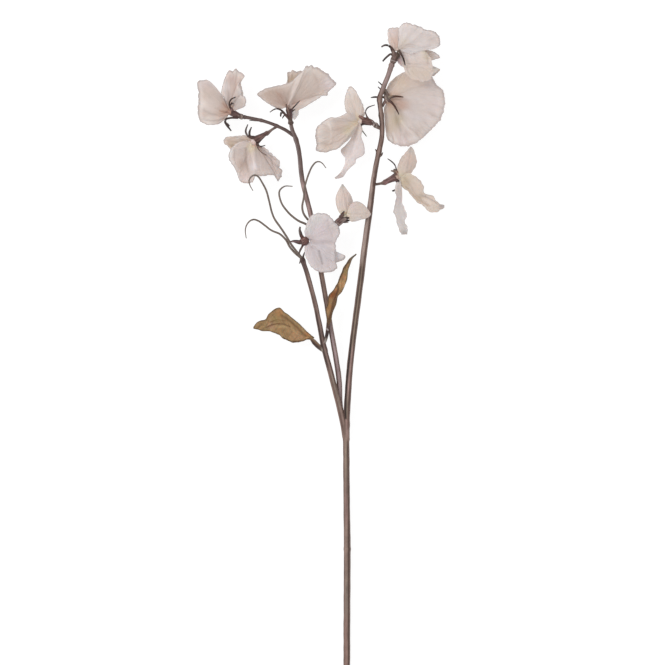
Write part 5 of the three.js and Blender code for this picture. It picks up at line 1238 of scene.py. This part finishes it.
FANS_6 = [
    dict(
        rim=[[385.6, 91, 20.6], [388.9, 83.5, 19.4], [394.7, 77.2, 18], [403.9, 71.6, 16.4], [415, 68, 15],
            [426, 70, 14.6], [433.3, 77.2, 14.4], [437.2, 84.4, 14], [441.9, 87.8, 13.8],
            [444.4, 92, 13.4], [445.1, 96.6, 13.4], [445.8, 101, 13.4], [444.8, 105.8, 13.6],
            [444.4, 110, 13.6], [442.4, 115.2, 14.2], [440.8, 119.8, 14.4], [436.6, 123.8, 14.8],
            [433.2, 127.8, 15], [428.8, 131.8, 15.6], [424.6, 136.2, 16], [415.3, 143.2, 17],
            [405, 146.2, 17.6], [394.1, 143.6, 18], [387.8, 139, 18.6], [385.6, 129, 19.4],
            [384.6, 118, 20.2], [383.8, 108, 20.8]],
        bow=1.4, folds=[[0.62, 0.05, 1], [0.78, 0.06, -1.8], [0.28, 0.1, 0.8]], frill=[0.6, 9, 0],
        tint=(209, 195, 190), claw=(196, 166, 148), ruffle=0.4, flutes=0.45, size=(160, 50), rim_line=0.5,
        # Several of these patches are painted shade, in the valley near the calyx and between the folds at
        # the bottom, and the pale strokes at the bottom rim are painted highlights on its flutes.
        patches=[(400, 82, 12, (206, 187, 171), 0.85), (418, 78, 8, (207, 189, 177), 0.7),
            (432, 84, 7, (204, 194, 195), 0.5), (402, 105, 7, (190, 156, 140), 0.9),
            (396.6, 120, 8, (184, 168, 142), 0.85), (391, 110, 5, (190, 168, 146), 0.7),
            (390, 128, 6, (198, 181, 164), 0.7), (408, 128, 6, (208, 193, 187), 0.6),
            (403, 141, 6, (211, 192, 193), 0.7), (436, 104, 8, (215, 198, 197), 0.6),
            (420, 132, 6, (198, 181, 171), 0.7), (441, 84, 4, (196, 184, 184), 0.6),
            (405, 134, 4, (184, 168, 162), 0.6)],
        strokes=[([(386, 132), (393, 141)], 1, (224, 214, 208), 0.7),
            ([(393, 133), (398, 143.4)], 1, (222, 212, 208), 0.6),
            ([(402, 136), (405, 145)], 1, (222, 210, 208), 0.6),
            ([(414, 137), (419, 140)], 1.4, (220, 210, 208), 0.6),
            ([(405, 112), (416, 117), (430, 118)], 2.4, (216, 202, 200), 0.6),
            ([(404, 98), (420, 97), (438, 97)], 2, (214, 200, 196), 0.6)],
        creases=[([(401, 121), (407, 128), (414.8, 133.8)], 1.4, 0.9),
            ([(396, 112), (397.6, 123), (401, 131)], 2.2, -1.2), ([(411, 128), (420, 136)], 1.2, -0.7),
            ([(434, 95), (444, 96)], 1, -0.6), ([(433, 104), (443.6, 107)], 1, -0.6),
            ([(430, 113), (441, 118)], 1, -0.6), ([(424, 121), (433, 128)], 1, -0.6),
            ([(391, 133), (395, 142)], 1, -0.5), ([(401, 135), (404, 145)], 1, -0.5),
            ([(398, 95), (412, 88), (428, 84)], 1.6, -0.4)],
    ),
    dict(
        rim=[[393, 97, 17], [403, 91, 9], [416, 90, 3], [427, 97, 0.2], [431.6, 107, -0.2],
            [425.6, 116.6, 1.2], [412, 119, 4], [398, 113, 11]],
        bow=-1, frill=[0.4, 3, 0], size=PLAIN,
    ),
    dict(
        rim=[[390, 104.6, 17], [394.6, 117, 10], [402.6, 128, 6], [414, 133.4, 5], [424.6, 128.6, 5.4],
            [425.4, 118.6, 8.6], [414, 109, 11.6], [400, 103, 15]],
        bow=-1, frill=[0.6, 3, 0], size=PLAIN,
    ),
]

# Bloom 7, on the right of the right branch, with three long petals.
CALYX_7 = dict(
    cone=[[375.6, 184.2, 24], [380.6, 183.3, 24.1], [382.8, 182.9, 24.2], [384.4, 182.4, 24.3],
        [386.6, 181.4, 24.4], [391.4, 179.2, 24.6], [396, 177.1, 24.9]],
    cone_radii=[1.35, 1.35, 1.9, 2.8, 2.6, 3.2, 4.2],
    sepals=[
        ([0.9, 0.5, 0.5, 0.5, 0.3],
            [[396.8, 173.6, 28.6], [396, 168.8, 30], [394.4, 164.8, 30.6], [391.2, 161.6, 30.8],
                [387.4, 158.9, 30.8]]),
        ([1.3, 0.9, 0.5], [[396.6, 174.6, 28.6], [393.8, 171.8, 30.2], [390.8, 170.9, 30.6]]),
        ([1.2, 1, 0.7], [[397.4, 173.2, 28.6], [396, 171.2, 30.4], [393.4, 169.6, 30.8]]),
        ([0.8, 0.7, 0.8, 0.6],
            [[396.6, 181, 23], [397.6, 186.6, 21.4], [394.8, 190, 22], [392.2, 190.8, 22.6]]),
        ([1.4, 1.2, 0.6], [[395.6, 180.4, 27], [397.6, 180.8, 28], [399, 181.6, 28.6]]),
        ([1.4, 1, 0.4], [[397, 179, 21.6], [400.6, 181.6, 17.6], [403.6, 185, 15.6]])],
    strokes=[([(392, 170.6), (396, 172)], 1.3, (158, 136, 122), 0.9),
        ([(397, 172.6), (398.4, 176)], 1.3, (178, 140, 120), 0.85),
        ([(385, 182.6), (388, 181.4)], 1.3, (172, 128, 128), 0.75),
        ([(388, 178.6), (392.6, 176)], 1.6, (140, 108, 106), 0.7),
        ([(394.6, 176.6), (395.8, 180.4)], 1.1, (116, 86, 76), 0.8),
        ([(386, 180.4), (391, 177.8), (395, 175.4)], 0.5, (80, 54, 50), 0.8),
        ([(388, 183), (393, 180.9), (397, 179)], 0.6, (84, 57, 54), 0.85),
        ([(386.6, 184.6), (396, 182)], 0.5, (62, 44, 44), 0.8)],
)
STRAPS_7 = [
    dict(
        left=[[398.8, 175.6, 27], [397.6, 171, 29.6], [397.5, 166.1, 31], [400.1, 160.1, 30.6],
            [404.8, 154.1, 28], [408.2, 149.4, 25.4], [411, 146.4, 22.6]],
        right=[[402.4, 177.4, 24], [411, 173.6, 19.4], [415.2, 168, 17], [416.8, 161.6, 17],
            [416.2, 155.6, 18], [414.4, 150.2, 20], [412, 147, 22]],
        cup=2.6, frill=[0.6, 2, 0], tint=(209, 191, 181), claw=(203, 189, 166), ruffle=0.3,
        patches=[(411, 150, 4, (199, 191, 184), 0.6), (408, 160, 5, (208, 183, 173), 0.7)],
        creases=[([(411, 148), (409, 158), (406, 168)], 1.3, -0.5)],
    ),
    dict(
        left=[[402.6, 175.6, 27.4], [409.6, 173.6, 31], [416, 177.4, 33.6], [420, 183.4, 35.4],
            [423, 187.4, 35.8], [424.4, 193.4, 35], [431.6, 196.9, 34], [436, 201.2, 32],
            [440.4, 204.4, 29.6], [444.2, 205.4, 27.6]],
        right=[[400.6, 182, 24], [402.8, 187.4, 20.6], [408, 192, 16.4], [413.2, 196.4, 14.4],
            [416.8, 201.2, 14.6], [423, 206.8, 17.4], [430.3, 211.6, 20.6], [437.4, 212.2, 23.6],
            [441.6, 209.6, 25.4], [444.4, 207.4, 26.8]],
        cup=1.6, frill=[1.2, 3, 0], tint=(207, 191, 179), claw=(198, 184, 164), ruffle=0.5, crinkle=0.13,
        patches=[(406, 181, 5, (190, 174, 150), 0.8), (421, 197, 4, (190, 173, 150), 0.8),
            (429, 200, 6, (220, 203, 193), 0.8), (441.6, 207, 3, (178, 170, 168), 0.8),
            (413, 184, 4, (204, 190, 180), 0.5)],
        # These strokes are painted shade along the pressed creases.
        strokes=[([(406, 186), (413, 193), (420, 200), (428, 205)], 0.9, (172, 152, 132), 0.6),
            ([(421, 194), (428, 198), (436, 203), (441, 206)], 0.8, (174, 161, 154), 0.6)],
        creases=[([(405, 178), (412, 188), (420, 198), (430, 206)], 1.4, -0.7),
            ([(423, 195), (430, 200), (437, 204)], 1.1, -0.6),
            ([(415, 195), (421, 197), (426, 196)], 1, -0.6)],
    ),
    dict(
        left=[[398, 181, 27], [396, 185.6, 30], [395, 191.6, 33.6], [395.8, 200.3, 37],
            [394.8, 209.6, 38.6], [396.2, 218.6, 37.6], [397.2, 225, 35.4], [399.6, 230.6, 33],
            [401.6, 234.8, 30.6]],
        right=[[401.2, 181.6, 23], [402, 186.4, 16.6], [402.9, 192, 12.4], [403.2, 197, 9.8],
            [402.4, 203, 8.4], [404.8, 208.6, 8.8], [406.8, 215, 10.8], [405.8, 221.6, 14.6],
            [408.4, 227.4, 19], [407.4, 234.4, 25]],
        cup=1.8, frill=[1, 2, 0.6], tint=(227, 217, 214), claw=(222, 209, 203), ruffle=0.5,
        patches=[(397, 200, 5, (214, 199, 202), 0.6), (404, 222, 4, (199, 191, 186), 0.6),
            (404, 232, 3, (188, 185, 179), 0.7)],
        creases=[([(399, 184), (400, 196), (399, 208), (402, 222)], 1.2, 0.6)],
    ),
]

# Bloom 8, the smallest, between the middle and the right branch.
CALYX_8 = dict(
    cone=[[314.6, 240.6, 22.4], [325, 233.4, 24.6], [332.5, 227, 27.4], [335.6, 224.8, 28.6],
        [338.8, 221.9, 29.2], [342.4, 219, 29.8], [344, 217.8, 30]],
    cone_radii=[1.2, 1.3, 1.7, 3.2, 3.6, 3.6, 3.2],
    sepals=[
        ([2.2, 1.6, 1.1, 0.4],
            [[340.4, 218, 32.2], [341.8, 215.6, 33.2], [343, 213.6, 34], [344.3, 211.5, 34.6]]),
        ([2.6, 2.1, 1.3, 0.3],
            [[342.2, 221, 32.6], [345, 219.6, 33.6], [346.9, 218.7, 34.2], [349.2, 217.8, 34.6]]),
        ([1.2, 0.7, 0.3], [[343, 222, 30.6], [345.6, 222.5, 31], [348.4, 222.7, 31.2]]),
        ([1.4, 1, 0.4], [[343.4, 217, 26.8], [346.6, 212.6, 23.4], [349, 209.6, 22]]),
        ([1.4, 1, 0.4], [[343.4, 219.6, 26.8], [347, 220.6, 23.6], [350.4, 220, 22]])],
    strokes=[([(335.4, 221.2), (339.6, 225.2)], 0.5, (176, 160, 152), 0.85),
        ([(340.4, 224.6), (346, 219.6)], 0.5, (172, 156, 148), 0.85),
        ([(339.4, 219.6), (342.4, 216)], 1.4, (88, 70, 66), 0.6),
        ([(336.8, 219), (341, 214.6)], 0.4, (146, 126, 120), 0.6),
        ([(346, 222.6), (348.6, 222.8)], 0.8, (152, 132, 126), 0.8),
        ([(341.6, 221.4), (345, 218.8)], 1, (158, 138, 130), 0.75),
        ([(342.2, 217), (344, 213)], 0.8, (132, 104, 92), 0.6)],
)
STRAPS_8 = [
    dict(
        left=[[343.6, 215.6, 31.6], [340.2, 213.4, 33.2], [337.4, 208.6, 34], [335.9, 202.6, 34],
            [336.4, 196, 33.2], [339, 189.8, 31.6], [342.2, 184.2, 29.6]],
        right=[[348, 215, 28], [352.6, 211, 24.6], [353.9, 205.6, 23.4], [352.6, 199.4, 24],
            [350.4, 194.4, 25.6], [346.8, 189.2, 27.4], [343.2, 184.4, 29]],
        cup=2.2, frill=[0.3, 2, 0], tint=(214, 197, 190), claw=(206, 195, 166), ruffle=0.15,
        patches=[(342.5, 186, 3, (199, 198, 190), 0.7), (351, 200, 3, (206, 196, 197), 0.5),
            (343, 197, 4, (214, 192, 183), 0.6)],
        creases=[([(343, 189), (345, 199), (346, 209)], 1.1, -0.3)],
    ),
    dict(
        left=[[347, 213.6, 32], [348.6, 208, 34], [352, 203.4, 34.6], [356.8, 201.8, 34.4],
            [362.2, 203.8, 33.4], [367.2, 208.6, 32], [370.8, 213.8, 30.8]],
        right=[[347.4, 217.8, 31.4], [350.8, 221.6, 32.4], [355.6, 221.6, 32.4], [361, 219.8, 32],
            [365.2, 219, 31.4], [368.4, 217.4, 30.8], [370.9, 215, 30.6]],
        cup=1.8, frill=[0.3, 2, 0], tint=(208, 192, 183), claw=(214, 198, 174), ruffle=0.15,
        patches=[(352, 205.4, 3.6, (206, 186, 187), 0.7), (368, 214, 3, (210, 188, 177), 0.7),
            (358, 220, 3, (211, 203, 201), 0.6)],
        creases=[([(350, 214), (359, 214.6), (367, 214)], 1.1, -0.4)],
    ),
    dict(
        left=[[347.6, 213.4, 27.6], [351, 207.6, 22], [355.6, 204.6, 18.6], [360.6, 206, 17],
            [364, 210.6, 16.6]],
        right=[[348.4, 217.6, 27.6], [351.4, 220.4, 22.6], [355.6, 220.2, 19], [360.4, 217.6, 17],
            [364, 212, 16.4]],
        cup=-1.4, size=(20, 50),
    ),
]

# Bloom 9, the palest, over the middle and the left branch.
CALYX_9 = dict(
    cone=[[312.8, 237.6, 23.4], [307.5, 239.6, 24.6], [304.4, 240.8, 26.6], [303.8, 241.2, 29],
        [304.2, 241.3, 32.6], [305, 241.2, 36.4], [305.8, 241.2, 38.4]],
    cone_radii=[1.2, 1.4, 2.4, 3.8, 4.5, 4.3, 2.6],
    sepals=[
        ([1.6, 1.5, 1.3, 0.9, 0.6],
            [[303.6, 239.4, 34], [301.4, 236, 35.4], [300.3, 232.6, 36.2], [299.8, 229.8, 36.6],
                [300.3, 227, 36.6]]),
        ([1.9, 1.9, 1.5, 1, 0.5],
            [[303, 242.4, 33], [299.6, 242.4, 34], [296.4, 241.8, 34.4], [293.8, 241.4, 34.4],
                [290.6, 241.9, 34.2]]),
        ([1.1, 0.8, 0.8, 0.5],
            [[303.4, 244.4, 32.6], [301.8, 247.6, 33.6], [300.2, 250.6, 34], [299.2, 253.9, 34]]),
        ([1.4, 1, 0.4], [[308, 239.4, 30.6], [312.6, 235.4, 30.4], [316.4, 232.6, 30.6]]),
        ([1.4, 1, 0.4], [[308, 243.4, 30.6], [312, 247.6, 30.2], [315.4, 251, 30.2]])],
    strokes=[([(302, 238.4), (306.6, 241), (304.6, 244.4)], 2.6, (118, 78, 72), 0.75),
        ([(301.6, 240.4), (304.6, 238.8), (307, 241.4), (304.4, 243.6)], 0.45, (160, 122, 112), 0.8),
        ([(302.6, 243.2), (303.4, 241.2), (305.4, 241.2)], 0.4, (170, 134, 122), 0.8),
        ([(301, 242), (303, 245), (307, 244.6)], 0.4, (70, 40, 40), 0.8),
        ([(306, 240.4), (306.4, 242)], 0.7, (78, 50, 48), 0.85),
        ([(302.6, 240), (303.4, 241)], 0.5, (84, 54, 52), 0.8),
        ([(299.8, 228), (299.8, 234)], 0.8, (120, 104, 98), 0.7),
        ([(292, 242), (299, 242)], 0.7, (134, 104, 106), 0.8),
        ([(299.6, 252.6), (302, 247.4)], 0.6, (124, 104, 96), 0.7)],
)
FANS_9 = [
    dict(
        rim=[[306.2, 238.2, 35.4], [304.7, 232, 36.6], [307.1, 224, 38], [310.4, 217, 38.6],
            [315.4, 214.1, 38.8], [321.6, 213.7, 38.6], [327.6, 214.8, 38], [332, 219, 37.4],
            [336.4, 224.2, 36.6], [339.9, 229.8, 35.8], [338.7, 236.4, 35.4], [335.6, 242, 35.4],
            [335.8, 248.9, 35], [335.4, 255, 34.4], [335.8, 262, 33.4], [337, 268.4, 32],
            [332.6, 271.5, 33], [326, 272.6, 34], [319, 271.8, 35], [312.6, 268, 35.6], [308, 261.4, 36],
            [305.2, 253.6, 36.2], [304.8, 246.6, 35.6]],
        bow=2.4, folds=[[0.5, 0.06, -1.6], [0.74, 0.05, -2], [0.3, 0.07, 1]], frill=[0.6, 7, 0],
        tint=(205, 192, 192), claw=(203, 188, 187), ruffle=0.3, crinkle=0.12, size=(150, 50),
        patches=[(316, 219, 6, (205, 205, 202), 0.6), (320, 230, 6, (215, 197, 200), 0.6),
            (334, 227, 4, (197, 183, 177), 0.7), (322, 244, 6, (206, 192, 195), 0.5),
            (312, 258, 6, (209, 199, 202), 0.5), (327, 266, 5, (203, 187, 187), 0.6),
            (308, 229, 4, (206, 205, 200), 0.5)],
        strokes=[([(319, 252), (320.6, 257), (322.6, 264)], 1.2, (170, 158, 156), 0.6)],
        creases=[([(306, 240), (318, 243), (334, 242)], 2, -0.9),
            ([(319, 251), (320.6, 257), (322.5, 264)], 1.3, -1), ([(312, 247), (317, 251)], 1, -0.5),
            ([(328, 219), (329, 228), (333, 236)], 1.2, -0.5)],
    ),
    dict(
        rim=[[313, 244.6, 31.6], [324, 245.6, 29.6], [334, 251, 27.6], [341, 253.8, 26.4],
            [344.8, 255.4, 25.6], [345.4, 257.6, 25.6], [342.6, 260.6, 26.2], [335, 263, 27],
            [325, 267, 28.4], [315, 262.6, 29.6], [309.4, 251, 31.6]],
        bow=0.8, frill=[0.4, 3, 0], tint=(213, 205, 207), claw=(205, 190, 190), size=PLAIN,
    ),
    dict(
        rim=[[308.4, 235, 32.6], [310, 226, 32], [315, 219, 31.4], [323, 217.6, 30.6], [328, 222, 30],
            [326.6, 230, 30], [318, 237, 32]],
        bow=0.6, tint=(206, 195, 196), claw=(205, 190, 190), size=PLAIN,
    ),
]

BLOOMS = [
    dict(heart=[229.8, 111.8, 25.2], claw=(176, 134, 116), calyx=CALYX_1, fans=FANS_1),
    dict(heart=[288, 106.9, 27.4], claw=(176, 148, 134), calyx=CALYX_2, fans=FANS_2),
    dict(heart=[254, 142.4, 27], claw=(216, 190, 182), calyx=CALYX_3, fans=FANS_3),
    dict(heart=[358.8, 121.8, 27.2], claw=(216, 196, 184), core=1.3,
         calyx=CALYX_4, fans=FANS_4, straps=STRAPS_4),
    dict(heart=[397.4, 50.6, 29.8], claw=(212, 188, 176), core=1.4, open_mouth=False,
         calyx=CALYX_5, fans=FANS_5),
    dict(heart=[388.2, 98.8, 21.6], claw=(190, 158, 144), calyx=CALYX_6, fans=FANS_6),
    dict(heart=[399, 177.6, 25], claw=(196, 166, 148), calyx=CALYX_7, straps=STRAPS_7),
    dict(heart=[346.4, 216, 30], claw=(206, 190, 168), calyx=CALYX_8, straps=STRAPS_8),
    dict(heart=[308.4, 241.4, 34.4], claw=(206, 192, 192), core=1, open_mouth=False,
         calyx=CALYX_9, fans=FANS_9),
]
PALE_BLOOM = 9
BLOOM_SEEDS = 100
STRAP_SEEDS = 50


def make_petals(number, bloom, material, slot):
    pile = Pile()
    add_core(pile, bloom["heart"], bloom["claw"], bloom.get("core", HEART_RADIUS))
    if bloom.get("open_mouth", True):
        calyx = bloom["calyx"]
        add_core(pile, calyx["cone"][-1], bloom["claw"], MOUTH_FILL * calyx["cone_radii"][-1])
    for index, petal in enumerate(bloom.get("fans", [])):
        rng = np.random.default_rng(BLOOM_SEEDS * number + index)
        add_fan(pile, rng, bloom["heart"], **petal)
    for index, petal in enumerate(bloom.get("straps", [])):
        rng = np.random.default_rng(BLOOM_SEEDS * number + STRAP_SEEDS + index)
        form = dict(petal)
        left = rooted(bloom["heart"], form.pop("left"))
        right = rooted(bloom["heart"], form.pop("right"))
        add_strap(pile, rng, left, right, **form)
    pile.build(f"bloom_{number}_petal_cloth", material, slot, f"bloom_{number}_petals")


NOISE_ROUGHNESS = 0.55
NOISE_RANGE = (0.3, 0.7)  # what most of the noise's values lie between
MIX_FACTOR, MIX_FIRST, MIX_SECOND = 0, 6, 7  # the colour sockets of a Mix node
MIX_RESULT = 2


class Shader:
    """A Principled material that is put together node by node."""

    def __init__(self, name, **values):
        self.material = bpy.data.materials.new(name)
        self.material.use_nodes = True
        self.tree = self.material.node_tree
        self.surface = self.tree.nodes["Principled BSDF"]
        for socket, value in values.items():
            self.surface.inputs[socket.replace("_", " ")].default_value = value

    def node(self, kind, settings=(), **inputs):
        made = self.tree.nodes.new(f"ShaderNode{kind}")
        for key, value in dict(settings).items():
            setattr(made, key, value)
        for socket, value in inputs.items():
            self.give(made.inputs[socket.replace("_", " ")], value)
        return made

    def give(self, socket, value):
        if isinstance(value, bpy.types.NodeSocket):
            self.tree.links.new(value, socket)
        else:
            socket.default_value = value

    def dress(self, base, normal):
        """The finished material, with this base colour and this normal."""
        self.give(self.surface.inputs["Base Color"], base)
        self.give(self.surface.inputs["Normal"], normal)
        return self.material

    def attribute(self, name):
        return self.node("Attribute", {"attribute_name": name})

    def tint(self):
        return self.attribute("tint").outputs["Color"]

    def grain(self):
        return self.attribute("grain").outputs["Vector"]

    def noise(self, scale, detail=3, stretch=(1, 1, 1)):
        """Noise over the grain, with so many waves to the millimetre."""
        mapped = self.node("Mapping", Vector=self.grain(), Scale=stretch)
        made = self.node("TexNoise", Vector=mapped.outputs[0], Scale=scale, Detail=detail,
                         Roughness=NOISE_ROUGHNESS)
        return made.outputs["Fac"]

    def ranged(self, value, low, high):
        """A noise value spread from low to high, and nothing below 0."""
        made = self.node("MapRange", Value=value)
        sockets = ("From Min", "From Max", "To Min", "To Max")
        for socket, number in zip(sockets, (*NOISE_RANGE, low, high)):
            made.inputs[socket].default_value = number
        return self.math("MAXIMUM", made.outputs[0], 0.0) if low < 0 else made.outputs[0]

    def math(self, operation, first, second=0.0):
        made = self.node("Math", {"operation": operation})
        self.give(made.inputs[0], first)
        self.give(made.inputs[1], second)
        return made.outputs[0]

    def scaled(self, tint, factor):
        """The tint made darker or lighter by a value."""
        made = self.node("VectorMath", {"operation": "SCALE"})
        self.give(made.inputs[0], tint)
        self.give(made.inputs["Scale"], factor)
        return made.outputs[0]

    def mixed(self, factor, first, second):
        made = self.node("Mix", {"data_type": "RGBA"})
        self.give(made.inputs[MIX_FACTOR], factor)
        self.give(made.inputs[MIX_FIRST], first)
        self.give(made.inputs[MIX_SECOND], second)
        return made.outputs[MIX_RESULT]

    def bump(self, height, distance, strength, under=None):
        """A bump of this height value, in millimetres, over another one."""
        made = self.node("Bump", Strength=strength, Distance=distance * MM, Height=height)
        if under is not None:
            self.give(made.inputs["Normal"], under)
        return made.outputs[0]


def opaque(screen):
    return (*colour(screen), 1)


WEAVE = 0.42  # from thread to thread
CLOTH_SCATTER = (1.0, 0.75, 0.6)  # how far red, green and blue light goes through the cloth
VEIL_SHARE = 0.18


def make_petal_material(name, veil):
    """Thin woven cloth: soft clouds, fine streaks from the claw and a weave."""
    shader = Shader(name, Roughness=0.82, Sheen_Weight=0.1, Sheen_Roughness=0.5,
                    Subsurface_Weight=0.3, Subsurface_Scale=0.0016, Specular_IOR_Level=0.2)
    shader.surface.inputs["Subsurface Radius"].default_value = CLOTH_SCATTER
    tint = shader.tint()
    streaks = shader.noise(0.6, stretch=(1, 0.25, 1))
    clouds = shader.noise(0.13)
    fine = shader.noise(1.9, detail=2, stretch=(1, 0.6, 1))
    base = shader.scaled(tint, shader.ranged(streaks, 0.98, 1.015))
    base = shader.scaled(base, shader.ranged(clouds, 0.95, 1.03))
    veiled = shader.math("MULTIPLY", shader.ranged(fine, 0, 1), VEIL_SHARE)
    base = shader.mixed(veiled, base, opaque(veil))
    parts = shader.node("SeparateXYZ", Vector=shader.grain())
    threads = []
    for axis in (0, 1):
        turns = shader.math("MULTIPLY", parts.outputs[axis], TAU / WEAVE)
        threads.append(shader.math("SINE", turns))
    weave = shader.math("MULTIPLY", *threads)
    normal = shader.bump(streaks, distance=0.25, strength=0.4)
    normal = shader.bump(weave, distance=0.03, strength=0.5, under=normal)
    return shader.dress(base, normal)


GLEAM_LENGTH = 0.6  # how much longer the streaks are than the gleams, turned over
GLEAM_CONTRAST = 0.5  # beside the streaks


def make_brown_material(name, dark, roughness, streak_length, contrast):
    """Moulded plastic with lengthwise streaks, as a dry stem has, and random painted gleams of light."""
    shader = Shader(name, Roughness=roughness, Specular_IOR_Level=0.35)
    tint = shader.tint()
    streaks = shader.noise(0.55, detail=4, stretch=(1, 1, 1 / streak_length))
    painted_gleams = shader.noise(0.7, stretch=(1, 1, GLEAM_LENGTH / streak_length))
    clouds = shader.noise(0.12, detail=2)
    specks = shader.noise(1.6, stretch=(1, 1, 0.5))
    base = shader.mixed(shader.ranged(streaks, -0.3, contrast), tint, opaque(dark))
    # Painted gleams: random lengthwise streaks of painted highlight.
    base = shader.scaled(base, shader.ranged(painted_gleams, 0.86, 1 + GLEAM_CONTRAST * contrast))
    base = shader.scaled(base, shader.ranged(clouds, 0.88, 1.14))
    base = shader.scaled(base, shader.ranged(specks, 0.88, 1.12))
    normal = shader.bump(streaks, distance=0.5, strength=0.8)
    normal = shader.bump(specks, distance=0.15, strength=0.5, under=normal)
    return shader.dress(base, normal)


SPECK_SHARE = 0.3


def make_leaf_material(name):
    """A dry leaf: the veins are in its tints and its mesh, with mottling and specks here."""
    shader = Shader(name, Roughness=0.7, Sheen_Weight=0.1, Subsurface_Weight=0.15,
                    Subsurface_Scale=0.001, Specular_IOR_Level=0.3)
    tint = shader.tint()
    mottle = shader.noise(0.35, detail=4, stretch=(1, 0.6, 1))
    specks = shader.noise(1.7)
    base = shader.scaled(tint, shader.ranged(mottle, 0.78, 1.16))
    specked = shader.math("MULTIPLY", shader.ranged(specks, 0, 1), SPECK_SHARE)
    base = shader.mixed(specked, base, opaque(LEAF_SHADE))
    normal = shader.bump(specks, distance=0.25, strength=0.5)
    return shader.dress(base, normal)


# The stage, in metres.
FLOOR_SIZE = 6
FLOOR_GREY = (0.2, 0.2, 0.2, 1)
FLOOR_GLOW = (1, 1, 1, 1)
SKY = (0.97, 0.985, 1, 1)
SKY_STRENGTH = 0.675
LIGHTS = [
    dict(name="key", spot=(-1.1, 0.8, 1.9), size=0.9, power=20),
    dict(name="fill", spot=(0.6, -1.2, 1.8), size=1.6, power=4),
]
LIT_SPOT = (0, 0.1, 0)  # what the lights point at
LENS, SENSOR = 200, 36
VIEW_END = 20


def make_floor():
    """A plain white table that glows a little, as a light table does."""
    bpy.ops.mesh.primitive_plane_add(size=FLOOR_SIZE)
    floor = bpy.context.object
    floor.name = "floor"
    shader = Shader("floor_white", Roughness=0.9, Specular_IOR_Level=0.0, Emission_Strength=0.875)
    shader.surface.inputs["Base Color"].default_value = FLOOR_GREY
    shader.surface.inputs["Emission Color"].default_value = FLOOR_GLOW
    floor.data.materials.append(shader.material)


def make_lights():
    world = bpy.data.worlds.new("studio")
    bpy.context.scene.world = world
    world.use_nodes = True
    background = world.node_tree.nodes["Background"]
    background.inputs["Color"].default_value = SKY
    background.inputs["Strength"].default_value = SKY_STRENGTH
    for given in LIGHTS:
        light = bpy.data.lights.new(given["name"], "AREA")
        light.size = given["size"]
        light.energy = given["power"]
        lamp = bpy.data.objects.new(given["name"], light)
        lamp.location = given["spot"]
        aim = Vector(LIT_SPOT) - Vector(given["spot"])
        lamp.rotation_euler = aim.to_track_quat("-Z", "Y").to_euler()
        bpy.context.scene.collection.objects.link(lamp)


def make_camera():
    """It looks straight down on the middle of the photograph's frame, from far enough to be flat."""
    middle = place([PHOTO_SIDE / 2, PHOTO_SIDE / 2, PETAL_HEIGHT]) * MM
    camera = bpy.data.cameras.new("camera")
    camera.lens = LENS
    camera.sensor_width = SENSOR
    camera.clip_end = VIEW_END
    eye = bpy.data.objects.new("camera", camera)
    eye.location = (middle[0], middle[1], middle[2] + PHOTO_SIDE * MM * LENS / SENSOR)
    bpy.context.scene.collection.objects.link(eye)
    bpy.context.scene.camera = eye


def main():
    cloth = make_petal_material("petal_cloth", veil=(240, 236, 234))
    pale_cloth = make_petal_material("pale_petal_cloth", veil=(238, 238, 242))
    bark = make_brown_material("stem_bark", dark=(74, 54, 48), roughness=0.62, streak_length=16,
                               contrast=0.45)
    husk = make_brown_material("calyx_husk", dark=(48, 30, 29), roughness=0.55, streak_length=4,
                               contrast=0.75)
    skin = make_brown_material("tendril_skin", dark=(76, 62, 56), roughness=0.6, streak_length=10,
                               contrast=0.4)
    leaf_cloth = make_leaf_material("leaf_cloth")
    make_stem(bark)
    for number, bloom in enumerate(BLOOMS, 1):
        pale = number == PALE_BLOOM
        make_petals(number, bloom, pale_cloth if pale else cloth, "pale_petal" if pale else "petal")
        make_calyx(number, bloom["calyx"], husk)
    for number, points in enumerate(TENDRILS, 1):
        make_tendril(number, points, skin)
    for number, leaf in enumerate(LEAVES, 1):
        make_leaf(number, leaf, leaf_cloth, bark)
    make_floor()
    make_lights()
    make_camera()
    bpy.context.scene.view_settings.view_transform = "Standard"


main()
bpy.context.view_layer.update()
